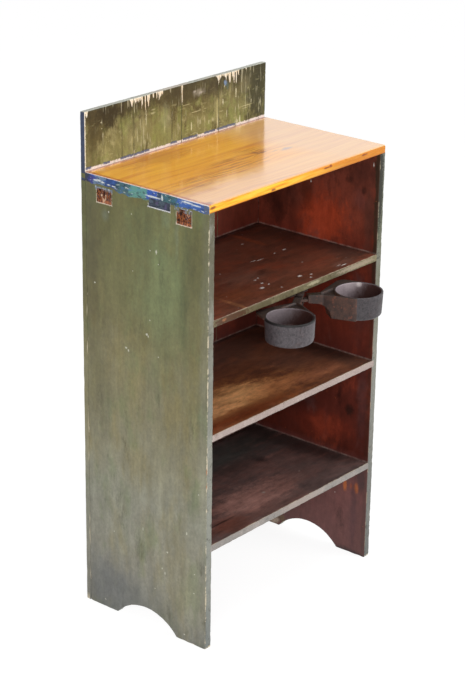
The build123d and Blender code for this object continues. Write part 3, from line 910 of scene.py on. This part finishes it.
ironLook = {
    "grey": "#3e393c", "pale": "#554e51", "pit": "#2a2628", "brown": "#4a362f", "darkBrown": "#31201b",
    # bowlRustAndShade also carries painted shade to one side of each bowl
    # lip is a near-black painted shadow along the left cup's front rim
    "armBrown": "#4f352b", "rust": "#764331", "bowl": "#897d81", "bowlRustAndShade": "#3c211b", "lipWithPaintedLight": "#060303",
    # spot is a painted highlight in the right bowl
    # the right-hand share is painted shade on the right casting
    "glintSpot": "#cfc4c2", "fleck": "#8f878a", "rightCupShade": 0.68,
}


def castIron():
    look = ironLook
    x = startMaterial("castIron", 0.5, 0.45, metallic=0.15)[0]
    pits = cloud(420, 5, 0.7)
    rust = cloud(45, 6, 0.75, (1, 1, 0.7))
    skin = cloud(170, 5, 0.7, shift=(3, 0, 1))
    colour = mix(remap(skin, 0.3, 0.7), look["grey"], look["pale"])
    colour = mix(remap(skin, 0.36, 0.46, 0.5, 0.0), colour, look["pit"])
    colour = patched(colour, look["fleck"], 0.6, 0.62, 0.72, 620, 3, 0.6, shift=(7, 1, 4))
    colour = mix(remap(rust, 0.54, 0.68, 0, 0.45), colour, look["brown"])
    # the right casting is darkened here as painted shade; below, the bowls get lit and shaded tones, darker
    # on the left and lighter on the right
    onRight = remap(x, -0.01, 0.03)
    colour = shade(colour, remap(onRight, 0, 1, 1.0, look["rightCupShade"], "LINEAR"))
    colour = mix(stored("bowl"), colour, shade(look["bowl"], swing(skin, 0.12),
        remap(onRight, 0, 1, 0.74, 1.25, "LINEAR")))
    # rust in the bowls, with painted shade on the side away from the light
    colour = mix(remap((rust - 0.5) * 0.6 + stored("bowlRustAndShade"), 0.2, 0.8), colour, look["bowlRustAndShade"])
    armTone = mix(remap(rust, 0.4, 0.6), look["darkBrown"], look["armBrown"])
    armTone = patched(armTone, look["rust"], 0.75, 0.55, 0.68, 90, 5, 0.7, shift=(5, 5, 5))
    # the arm tops are darkened where they face up: painted shade under the shelf
    facingForShade = axesOf(add("ShaderNodeNewGeometry", pick="Normal"))[2]
    armTone = shade(armTone, remap(facingForShade, 0.15, 0.75, 1.0, 0.3))
    colour = mix(stored("arm"), colour, armTone)
    # near-black painted shadow along the left cup's front rim
    colour = mix(stored("lipWithPaintedLight"), colour, look["lipWithPaintedLight"])
    # painted highlight high in the right bowl
    colour = mix(stored("glintSpot"), colour, look["glintSpot"])
    colour = shade(colour, swing(pits, 0.16))
    return finishMaterial(colour, remap(rust, 0.4, 0.65, 0.42, 0.66, "LINEAR"), pits, 0.0004, 0.6)


rustTones = ((0.3, "#16110f"), (0.5, "#2a1c17"), (0.7, "#4a2d20"))


def rustySteel():
    startMaterial("rustySteel", 0.6, 0.4, metallic=0.3)
    rust = cloud(220, 6, 0.7)
    colour = ramp(rust, rustTones)
    return finishMaterial(colour, evenly(rust, 0.45, 0.8), rust, 0.0004, 0.7)


leftEdgeTones = ((0.0, "#767a77"), (0.3, "#898a80"), (0.6, "#7d7d73"), (0.82, "#666352"), (1.0, "#56523f"))
rightEdgeTones = (
    (0.0, "#656865"), (0.3, "#75756f"), (0.5, "#84837a"), (0.7, "#6b6b59"), (0.85, "#565a48"),
    (1.0, "#4c5142"),
)

paints = {
    "outside": outsidePaint(),
    "leftEdge": edgePaint("leftEdgePaint", leftEdgeTones, "#9d9d92", "#d2c3a6"),
    "rightEdge": edgePaint(
        "rightEdgePaint", rightEdgeTones, "#85837a", "#a3977f", marks=((265, 870, 9, 100, "#1e1c12", 0.9),),
    ),
    "splash": splashPaint(), "inner": innerPaint(),
    "upperEdge": edgePaint(
        "upperShelfEdge", ((0.0, "#655c42"), (1.0, "#655c42")), "#8d8464", "#b5a888", "#3c2c1e",
        (
            (-210, 707, 50, 9, "#4c2d1b", 0.9), (190, 708, 60, 5, "#a0907a", 0.75),
            (-232, 708, 6, 3, "#a8714c", 0.6), (50, 709, 20, 3, "#c9c09f", 0.6),
        ),
    ),
    "middleEdge": edgePaint(
        "middleShelfEdge", ((0.0, "#a5948d"), (1.0, "#a5948d")), "#bcaea6", "#cbbcae", "#75665c",
    ),
    "lowerEdge": edgePaint(
        "lowerShelfEdge", ((0.0, "#8b8681"), (1.0, "#8b8681")), "#b0a59f", "#c0ada0", "#5c5751",
        ((30, 226, 70, 12, "#a8988f", 0.6),),
    ),
    "pine": varnishedPine(), "pineEdge": orangeEdge(), "blue": blueEnds(), "crown": greyCrown(),
    "splinter": splinteredWood(), "iron": castIron(), "rust": rustySteel(),
}
for shelfName in shelfLooks:
    paints[shelfName] = shelfPaint(shelfName)
print("materials made:", len(paints))

# Worn boards: a fine grid over each board, then a geometry tree that rubs and chips its edges

gridSteps = {  # across x, y and z
    "side": (0.006, 0.009, 0.0034), "back": (0.0035, 0.004, 0.016), "top": (0.0035, 0.0045, 0.005),
    "shelf": (0.0034, 0.014, 0.005), "splash": 0.0031,
}
wearSeeds = {"left": 1.7, "right": 6.3, "back": 3.1, "shelf": 8.0}
leastStep = 0.00025
edgeSteps = (0.0, 0.0007, 0.0016, 0.0028, 0.0045, 0.007)
thinSteps = (0.0, 0.001, 0.0026)


def stopsAlong(low, high, step, fineLow=True, fineHigh=True, fine=edgeSteps, extra=()):
    found = {low, high}
    if fineLow:
        found.update(low + c for c in fine)
    if fineHigh:
        found.update(high - c for c in fine)
    a = low + (fine[-1] if fineLow else 0)
    b = high - (fine[-1] if fineHigh else 0)
    count = max(1, round((b - a) / step))
    found.update(a + (b - a) * i / count for i in range(count + 1))
    found.update(extra)
    tidy = []
    for v in sorted(found):
        if not tidy or v - tidy[-1] > leastStep:
            tidy.append(v)
    tidy[-1] = high
    return tidy


def boardMesh(name, xs, ys, zs, slotOf, finishes, footOf=None, dentOf=None, keep=()):
    # keep names the faces that another board covers, whose edges stay whole
    counts = (len(xs), len(ys), len(zs))
    spans = ((xs[0], xs[-1]), (ys[0], ys[-1]), (zs[0], zs[-1]))
    index, places, gaps, inward = {}, [], [], []

    def corner(i, j, k):
        key = (i, j, k)
        if key not in index:
            p = [xs[i], ys[j], zs[k]]
            gap, way = [], []
            for axis in range(3):
                toLow = p[axis] - spans[axis][0] if "xyz"[axis] + "Low" not in keep else farAway
                toHigh = spans[axis][1] - p[axis] if "xyz"[axis] + "High" not in keep else farAway
                gap.append(min(toLow, toHigh))
                way.append(1.0 if toLow <= toHigh else -1.0)
            if footOf:
                p[2] = footOf(p[1], p[2])
            if dentOf:
                p = dentOf(p)
            index[key] = len(places)
            places.append(p)
            gaps.append(gap)
            inward.append(way)
        return index[key]

    faces, marks = [], []
    for axis in range(3):
        u, v = [a for a in range(3) if a != axis]
        for end in (0, counts[axis] - 1):
            for a in range(counts[u] - 1):
                for b in range(counts[v] - 1):
                    ring = []
                    for da, db in ((0, 0), (1, 0), (1, 1), (0, 1)):
                        key = [0, 0, 0]
                        key[axis], key[u], key[v] = end, a + da, b + db
                        ring.append(corner(*key))
                    if (axis == 1) != (end == 0):
                        ring.reverse()
                    faces.append(ring)
                    middle = [sum(places[r][c] for r in ring) / 4 for c in range(3)]
                    marks.append(slotOf("xyz"[axis] + ("Low" if end == 0 else "High"), middle))
    mesh = bpy.data.meshes.new(name)
    mesh.from_pydata(places, [], faces)
    mesh.polygons.foreach_set("material_index", marks)
    mesh.polygons.foreach_set("use_smooth", [True] * len(faces))
    for finish in finishes:
        mesh.materials.append(paints[finish])
    for label, rows in (("edgeGap", gaps), ("inward", inward)):
        layer = mesh.attributes.new(label, "FLOAT_VECTOR", "POINT")
        layer.data.foreach_set("vector", [c for row in rows for c in row])
    return addObject(name, mesh)


def newTree(name, sizes):  # a geometry tree with named inputs; returns it and its inputs by name
    tree = bpy.data.node_groups.new(name, "GeometryNodeTree")
    tree.interface.new_socket(name="Geometry", in_out="INPUT", socket_type="NodeSocketGeometry")
    for label, kind, value in sizes:
        made = tree.interface.new_socket(name=label, in_out="INPUT", socket_type="NodeSocket" + kind)
        if value is not None:
            made.default_value = value
    tree.interface.new_socket(name="Geometry", in_out="OUTPUT", socket_type="NodeSocketGeometry")
    start = tree.nodes.new("NodeGroupInput")
    current["tree"] = tree
    return tree, {socket.name: Value(socket) for socket in start.outputs if socket.name}


def finishTree(geometry, material):
    last = add("GeometryNodeRealizeInstances", {0: geometry})
    if material is not None:
        last = add("GeometryNodeSetMaterial", {"Geometry": last, "Material": material})
    makeNode("NodeGroupOutput", {0: last})


def bake(obj, tree, values):  # runs the tree on obj and keeps the result as a plain mesh
    modifier = obj.modifiers.new("tree", "NODES")
    modifier.node_group = tree
    for item in tree.interface.items_tree:
        if item.item_type == "SOCKET" and item.in_out == "INPUT" and item.name in values:
            modifier[item.identifier] = values[item.name]
    graph = bpy.context.evaluated_depsgraph_get()
    result = bpy.data.meshes.new_from_object(obj.evaluated_get(graph), depsgraph=graph)
    obj.modifiers.clear()
    result.name = obj.name
    obj.data = result


wornForm = {  # scale of the noise, and what it is spread over
    "ragged": (240.0, 0.45, 1.15), "rounds": (90.0, 0.6, 1.3), "dents": (14.0, 0.35, 0.75),
    "chipFade": 0.09, "bare": (0.0004, 0.0011), "detail": 3.0, "roughness": 0.6,
}


def wornEdgeTree():
    tree, take = newTree("wornEdges", (
        ("Round", "Float", 0.001), ("Chip depth", "Float", 0.003), ("Chip size", "Float", 60.0),
        ("Chip stretch", "Vector", (1, 1, 1)), ("Chip share", "Float", 0.56), ("Dents", "Float", 0.0003),
        ("Seed", "Float", 0.0)))
    ofVector = {"data_type": "FLOAT_VECTOR"}
    gap = axesOf(add("GeometryNodeInputNamedAttribute", {"Name": "edgeGap"}, ofVector))
    way = add("GeometryNodeInputNamedAttribute", {"Name": "inward"}, ofVector)
    seeded = vector("ADD", add("GeometryNodeInputPosition"), xyz(take["Seed"], take["Seed"], take["Seed"]))
    stretched = vector("MULTIPLY", seeded, take["Chip stretch"])

    form = wornForm

    def rough(scale, where, detail=form["detail"]):
        inputs = {"Vector": where, "Scale": scale, "Detail": detail, "Roughness": form["roughness"]}
        return add("ShaderNodeTexNoise", inputs)

    broken = rough(take["Chip size"], stretched)
    broken = remap(broken, take["Chip share"], take["Chip share"] + form["chipFade"])
    scale, low, high = form["ragged"]
    chips = broken * evenly(rough(scale, seeded), low, high) * take["Chip depth"]
    scale, low, high = form["rounds"]
    rounds = take["Round"] * evenly(rough(scale, seeded, 2.0), low, high)
    cuts, bare = [], []
    for a, b in ((0, 1), (1, 2), (2, 0)):
        total = gap[a] + gap[b]
        cuts.append(anyOf(anyOf(chips, rounds) - total, 0.0) * 0.5)
        bare.append(remap(chips - total, *form["bare"]))
    scale, low, high = form["dents"]
    dent = remap(rough(scale, seeded), low, high) * take["Dents"]
    moves = []
    for axis, first, second in ((0, 0, 2), (1, 0, 1), (2, 1, 2)):
        moves.append(anyOf(cuts[first], cuts[second]) + (gap[axis] < touching) * dent)
    chipped = {"Geometry": take["Geometry"], "Name": "chip", "Value": anyOf(*bare)}
    moved = add("GeometryNodeStoreNamedAttribute", chipped, {"data_type": "FLOAT", "domain": "POINT"})
    push = vector("MULTIPLY", way, xyz(*moves))
    moved = add("GeometryNodeSetPosition", {"Geometry": moved, "Offset": push})
    for label in ("edgeGap", "inward"):
        moved = add("GeometryNodeRemoveAttribute", {"Geometry": moved, "Name": label})
    finishTree(moved, None)
    return tree


wornEdges = wornEdgeTree()


def finishBoard(board, node, wear):
    bake(board, wornEdges, wear)
    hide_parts(node)
    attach(board, "cabinet")
    print(board.name, len(board.data.polygons), "faces")


sideWear = {
    "Round": 0.0014, "Chip depth": 0.0026, "Chip size": 60.0, "Chip stretch": (1.0, 1.0, 0.7),
    "Chip share": 0.51, "Dents": 0.0004,
}
footArch = {"width": 0.166, "height": 0.038, "setback": 0.162, "round": 0.005, "blend": 0.15}


def archHeight(y):  # underside of a side board: flat arch, and a small round at each corner
    arch = footArch
    radius = (arch["width"] ** 2 / 4 + arch["height"] ** 2) / (2 * arch["height"])
    off = abs(y - frontY - arch["setback"])
    lift = 0.0
    if off < arch["width"] / 2:
        lift = math.sqrt(radius ** 2 - off ** 2) - (radius - arch["height"])
    edge = min(y - frontY, rearY - y)
    if edge < arch["round"]:
        lift = arch["round"] - math.sqrt(max(0.0, arch["round"] ** 2 - (arch["round"] - edge) ** 2))
    return lift


def footShape(y, z):
    rise = footArch["blend"]
    return z if z >= rise else archHeight(y) + z * (rise - archHeight(y)) / rise


def housingAt(y, z, margin=0.0):
    for key, (setback, height, length, rise) in hingeHousings.items():
        if abs(y - frontY - setback) < length / 2 - margin and abs(z - height) < rise / 2 - margin:
            return key
    return None


def housingDent(p):
    x, y, z = p
    if x > cadLow.x + touching or not housingAt(y, z):
        return p
    rag = noise.noise(Vector((y * 260, z * 60, 4.0))) + 0.8 * noise.noise(Vector((y * 700, z * 160, 9.0)))
    return [x + housingDepth * max(0.15, 0.85 + 0.55 * rag), y, z]


def makeSide(name, node, left):
    low, high = (sideLow, sideHigh) if left else (rightLow, rightHigh)
    archEnds = [frontY + footArch["setback"] + s * footArch["width"] / 2 for s in (-1, 1)]
    extraY = [end + d for end in archEnds for d in (-0.004, -0.002, 0.0, 0.002, 0.004)]
    extraZ = []
    for setback, height, length, rise in hingeHousings.values() if left else ():
        for s in (-1, 1):
            extraY += [frontY + setback + s * length / 2, frontY + setback + s * (length / 2 - housingLip)]
            extraZ += [height + s * rise / 2, height + s * (rise / 2 - housingLip)]
        extraY += [frontY + setback + length * (i / 14 - 0.5) for i in range(1, 14)]
    stepX, stepY, stepZ = gridSteps["side"]
    xs = stopsAlong(low.x, high.x, stepX, fine=thinSteps)
    ys = stopsAlong(low.y, high.y, stepY, extra=extraY)
    zs = stopsAlong(0.0, high.z, stepZ, extra=extraZ)
    outer = "xLow" if left else "xHigh"

    def slotOf(face, middle):
        if face == outer:
            key = housingAt(middle[1], middle[2], -0.0002) if left else None
            return 0 if key is None else (4 if key == "middle" else 3)
        return {"yLow": 1, "yHigh": 0, "zLow": 0, "zHigh": 1}.get(face, 2)

    finishes = ("outside", "leftEdge" if left else "rightEdge", "inner", "splinter", "blue")
    board = boardMesh(name, xs, ys, zs, slotOf, finishes, footOf=footShape,
                      dentOf=housingDent if left else None, keep=("zHigh",))
    finishBoard(board, node, {**sideWear, "Seed": wearSeeds["left" if left else "right"]})


makeSide("leftSideBoard", "left_side", True)
makeSide("rightSideBoard", "right_side", False)

nailLook = {  # cut nails through the back boards
    "radius": 0.0024, "rise": 0.0005, "sunk": 0.0002, "wander": 0.0025, "fromEdge": 0.022, "fromWall": 0.015,
    "inSide": 0.0085, "underTop": 0.008, "lowest": 0.06, "step": 0.115, "count": 8, "seed": 7,
}
backWear = {
    "Round": 0.0012, "Chip depth": 0.0022, "Chip size": 60.0, "Chip stretch": (1.0, 1.0, 0.5),
    "Chip share": 0.56, "Dents": 0.0004,
}
splashFoot = counterZ - 0.004  # from here up a back board shows its front


def makeBackBoard(number):
    node = f"back_board_{number}"
    low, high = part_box(node)
    stepX, stepY, stepZ = gridSteps["back"]
    xs = stopsAlong(low.x, high.x, stepX)
    ys = stopsAlong(low.y, high.y - nailLook["rise"], stepY, fine=thinSteps)
    aboveTop = [splashFoot + gridSteps["splash"] * i for i in range(40)]
    zs = stopsAlong(low.z, high.z, stepZ, fineLow=False, extra=aboveTop)

    def slotOf(face, middle):
        if face == "yLow":
            behind = abs(middle[0]) > innerX + 0.002  # covered by a side
            return 0 if middle[2] > counterZ - 0.002 else (4 if behind else 1)
        if face == "zHigh":
            return 2
        if face == "xLow" and number == 1 and middle[2] > splashFoot:
            return 3
        return 4

    finishes = ("splash", "inner", "crown", "blue", "outside")
    board = boardMesh("backBoard" + str(number), xs, ys, zs, slotOf, finishes)
    finishBoard(board, node, {**backWear, "Seed": wearSeeds["back"] + number})


for number in range(1, 5):
    makeBackBoard(number)

topWear = {
    "Round": 0.0016, "Chip depth": 0.0032, "Chip size": 50.0, "Chip stretch": (0.7, 0.7, 1.0),
    "Chip share": 0.58, "Dents": 0.0002, "Seed": 5.5,
}
topNose = 0.0045  # radius of the front upper edge


def noseAt(p):
    x, y, z = p
    back, under = y - topLow.y, topHigh.z - z
    if back >= topNose or under >= topNose:
        return p
    dy, dz = back - topNose, topNose - under
    far = math.hypot(dy, dz)
    reach = max(abs(dy), abs(dz)) / far if far > 0 else 1.0  # the square corner is drawn in to a round one
    return [x, topLow.y + topNose + dy * reach, topHigh.z - topNose + dz * reach]


def makeTop():
    stepX, stepY, stepZ = gridSteps["top"]
    xs = stopsAlong(topLow.x, topHigh.x, stepX)
    ys = stopsAlong(topLow.y, topHigh.y, stepY, fineHigh=False)
    zs = stopsAlong(topLow.z, topHigh.z, stepZ)
    slots = {"xLow": 1, "xHigh": 1, "zLow": 2, "yLow": 3}
    board = boardMesh("topBoard", xs, ys, zs, lambda face, middle: slots.get(face, 0),
                      ("pine", "blue", "inner", "pineEdge"), dentOf=noseAt, keep=("yHigh", "zLow"))
    finishBoard(board, "top_board", topWear)


makeTop()

shelfWear = {
    "Round": 0.0012, "Chip depth": 0.0016, "Chip size": 50.0, "Chip stretch": (0.6, 1.0, 1.0),
    "Chip share": 0.57, "Dents": 0.0005,
}


def makeShelf(name, edge):
    low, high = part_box(name)
    stepX, stepY, stepZ = gridSteps["shelf"]
    xs = stopsAlong(low.x, high.x, stepX, fineLow=False, fineHigh=False)
    ys = stopsAlong(low.y, high.y, stepY, fineHigh=False)
    zs = stopsAlong(low.z, high.z, stepZ, fine=thinSteps)
    slots = {"yLow": 1, "zLow": 2}
    label = name.replace("_shelf", "Shelf") + "Board"
    board = boardMesh(label, xs, ys, zs, lambda face, middle: slots.get(face, 0), (name, edge, "inner"),
                      keep=("xLow", "xHigh", "yHigh"))
    finishBoard(board, name, {**shelfWear, "Seed": wearSeeds["shelf"] + low.z * 10})


for level in ("lower", "middle", "upper"):
    makeShelf(level + "_shelf", level + "Edge")
print("boards made")

# Iron cups: the CAD casting with softened edges and a rough skin

castLook = {
    "voxel": 0.0013, "smoothing": 0.5, "passes": 5, "skinDepth": 0.00035, "skinScale": 260.0,
    "broadScale": 60.0, "share": 0.6,
}


def castSkinTree():
    tree, take = newTree("castSkin", (
        ("Depth", "Float", 0.0003), ("Scale", "Float", 260.0), ("Seed", "Float", 0.0)))
    seeded = vector("ADD", add("GeometryNodeInputPosition"), xyz(take["Seed"], take["Seed"], take["Seed"]))
    fine = {"Vector": seeded, "Scale": take["Scale"], "Detail": 3.0, "Roughness": 0.6}
    broad = {"Vector": seeded, "Scale": castLook["broadScale"], "Detail": 2.0, "Roughness": 0.5}
    share = castLook["share"]
    grit = add("ShaderNodeTexNoise", fine) * share + add("ShaderNodeTexNoise", broad) * share
    offset = vector("SCALE", add("GeometryNodeInputNormal"), grit * (take["Depth"] * -1.0))
    moved = add("GeometryNodeSetPosition", {"Geometry": take["Geometry"], "Offset": offset})
    finishTree(add("GeometryNodeSetShadeSmooth", {0: moved}), paints["iron"])
    return tree


castSkin = castSkinTree()

cupForm = {  # metres from a cup's centre and rim
    "mouth": 0.0458, "rim": 0.0006, "outside": 0.002, "bowlDepth": 0.0445, "saddleTurn": 22.0,
    "pivot": (0.004, -0.10528),
    "lit": (0.64, -0.77), "rust": (0.35, 0.6, 9),  # where a bowl darkens: rust everywhere, painted shade to the side away from lit, rust downwards
    "shadowLipFrom": 0.0462, "shadowLipDepth": 0.0048, "shadowLipSide": (-0.787, -0.617), "shadowLipStart": -0.016,
    "shadowLipFade": 0.0012, "shadowLipSpread": 0.012,  # a near-black painted shadow along the front rim of the left cup
    "glintCentre": (0.0362, 0.0262, -0.004), "glintCentreSize": 0.005,  # a painted highlight high in the right bowl
    "glintBeside": (0.0240, 0.0376, -0.0045), "glintBesideSize": 0.011,  # and a fainter painted highlight beside it
}
cupPlaces = {  # centre, and the side that the front flank is on
    "left_cup": (-0.1049, -0.16765, -1),
    "right_cup": (0.10718, -0.17672, 1),
}


def within(value, high=1.0):
    return max(0.0, min(high, value))


def markCasting(made, body):  # stores the brown arm, the bowl with its rust and painted shade, the painted shadow lip and the painted highlight spot
    form = cupForm
    centreX, centreY, back = cupPlaces[body]
    centre = Vector((centreX, centreY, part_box(body)[1].z))
    armWay = Vector((centreX - form["pivot"][0], centreY - form["pivot"][1])).normalized()
    turn = -back * math.radians(form["saddleTurn"])
    saddleX = armWay.x * math.cos(turn) - armWay.y * math.sin(turn)
    saddleY = armWay.x * math.sin(turn) + armWay.y * math.cos(turn)
    marks = {"arm": [], "bowl": [], "bowlRustAndShade": [], "lipWithPaintedLight": [], "glintSpot": []}
    base, across, down = form["rust"]
    for vertex in made.data.vertices:
        dx, dy, under = vertex.co.x - centreX, vertex.co.y - centreY, centre.z - vertex.co.z
        far = math.hypot(dx, dy)
        inBowl = far < form["mouth"] + form["rim"] and under < form["bowlDepth"]
        beyond = dx * saddleX + dy * saddleY < form["rim"]
        onArm = beyond and not inBowl and far > form["mouth"] + form["outside"]
        lit = (dx * form["lit"][0] + dy * form["lit"][1]) / form["mouth"]
        marks["arm"].append(float(onArm))
        marks["bowl"].append(float(inBowl))
        marks["bowlRustAndShade"].append(within(base + across * lit + down * under) if inBowl else 0.0)
        # painted shadow along the left cup's front rim
        towards = form["shadowLipSide"][0] * dx + form["shadowLipSide"][1] * dy
        lipWithPaintedLight = min((form["shadowLipDepth"] - under) / form["shadowLipFade"],
                  (towards - form["shadowLipStart"]) / form["shadowLipSpread"])
        onShadowLip = body == "left_cup" and far > form["shadowLipFrom"] and not onArm
        marks["lipWithPaintedLight"].append(within(lipWithPaintedLight, 0.97) if onShadowLip else 0.0)
        # painted highlight in the right bowl
        off, offGlintBeside = [(vertex.co - centre - Vector(form[k])).length for k in ("glintCentre", "glintBeside")]
        bright = within(1.5 - off / form["glintCentreSize"], 0.9)
        faint = 0.2 * min(1.0, 1.6 - offGlintBeside / form["glintBesideSize"])
        marks["glintSpot"].append(max(bright, faint) if body == "right_cup" and inBowl else 0.0)
    for label, values in marks.items():
        made.data.attributes.new(label, "FLOAT", "POINT").data.foreach_set("value", values)


def makeCasting(name, node, body, seed):
    solid = bmesh.new()
    solid.from_mesh(nodes[node].data)
    bmesh.ops.remove_doubles(solid, verts=solid.verts, dist=touching)
    mesh = bpy.data.meshes.new(name)
    solid.to_mesh(mesh)
    solid.free()
    made = addObject(name, mesh)
    soften = made.modifiers.new("soften", "REMESH")
    soften.mode = "VOXEL"
    soften.voxel_size = castLook["voxel"]
    smooth = made.modifiers.new("smooth", "SMOOTH")
    smooth.factor = castLook["smoothing"]
    smooth.iterations = castLook["passes"]
    bake(made, castSkin, {"Depth": castLook["skinDepth"], "Scale": castLook["skinScale"], "Seed": seed})
    markCasting(made, body)
    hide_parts(node)
    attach(made, body)
    print(name, len(made.data.polygons), "faces")


makeCasting("leftCupCasting", "left_cup", "left_cup", 1.0)
makeCasting("leftCupEye", "left_eye", "left_cup", 2.0)
makeCasting("rightCupCasting", "right_cup", "right_cup", 3.0)
makeCasting("rightCupEye", "right_eye", "right_cup", 4.0)

for node in ("pivot_plate", "pivot_pin", "pivot_washer", "pivot_nut"):
    mesh = nodes[node].data
    mesh.materials.clear()
    mesh.materials.append(paints["rust"])
print("cups and pivot made")

# Nails through the back boards, and the screws of the pivot plate

headForm = {"sides": 12, "taper": 0.72, "smallest": 0.88, "largest": 1.12, "rooted": 0.0001}


def headTree():
    form = headForm
    tree, take = newTree("heads", (
        ("Radius", "Float", 0.0024), ("Rise", "Float", 0.0005), ("Wander", "Vector", (0, 0, 0)),
        ("Facing", "Vector", (0, 1, 0)), ("Seed", "Int", 7)))
    spread = {0: vector("SCALE", take["Wander"], -1.0), 1: take["Wander"], 8: take["Seed"]}
    drift = add("FunctionNodeRandomValue", spread, {"data_type": "FLOAT_VECTOR"})
    strewn = add("GeometryNodeSetPosition", {"Geometry": take["Geometry"], "Offset": drift})
    head = add("GeometryNodeMeshCone", {
        "Vertices": form["sides"], "Radius Top": take["Radius"] * form["taper"],
        "Radius Bottom": take["Radius"], "Depth": take["Rise"] + form["rooted"]}, pick="Mesh")
    turned = add("FunctionNodeAlignRotationToVector", {"Vector": take["Facing"]})
    sizes = {2: form["smallest"], 3: form["largest"], 8: take["Seed"]}
    scale = add("FunctionNodeRandomValue", sizes, {"data_type": "FLOAT"}, 1)
    placedHeads = add("GeometryNodeInstanceOnPoints", {
        "Points": strewn, "Instance": head, "Rotation": turned, "Scale": xyz(scale, scale, 1.0)})
    finishTree(placedHeads, paints["rust"])
    return tree


heads = headTree()


def makeHeads(name, places, values):
    mesh = bpy.data.meshes.new(name)
    mesh.from_pydata(places, [], [])
    made = addObject(name, mesh)
    bake(made, heads, values)
    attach(made, "cabinet")
    print(name, len(places), "heads")


nailPlaces = []
nailY = backY - nailLook["rise"] - nailLook["sunk"]
nailLevels = [t - shelfThick / 2 for t in shelfTops] + [topLow.z + nailLook["underTop"]]
for number in range(1, 5):
    low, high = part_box(f"back_board_{number}")
    for level in nailLevels:
        for across in (low.x + nailLook["fromEdge"], high.x - nailLook["fromEdge"]):
            if abs(across) < innerX - nailLook["fromWall"]:
                nailPlaces.append((across, nailY, level))
for across in (-(innerX + nailLook["inSide"]), innerX + nailLook["inSide"]):
    for step in range(nailLook["count"]):
        nailPlaces.append((across, nailY, nailLook["lowest"] + step * nailLook["step"]))
makeHeads("backNails", nailPlaces, {
    "Radius": nailLook["radius"], "Rise": nailLook["rise"], "Facing": (0, 1, 0), "Seed": nailLook["seed"],
    "Wander": (nailLook["wander"], 0, nailLook["wander"])})

screwLook = {"radius": 0.0032, "rise": 0.0004, "sunk": 0.0034, "fromEdge": 0.009, "seed": 2}
plateLow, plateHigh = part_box("pivot_plate")
screwAt = plateHigh - Vector((screwLook["fromEdge"], screwLook["fromEdge"], screwLook["sunk"]))
screwPlaces = [(plateLow.x + screwLook["fromEdge"], screwAt.y, screwAt.z), tuple(screwAt)]
makeHeads("plateScrews", screwPlaces, {
    "Radius": screwLook["radius"], "Rise": screwLook["rise"], "Wander": (0, 0, 0), "Facing": (0, 0, -1),
    "Seed": screwLook["seed"]})

low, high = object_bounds()
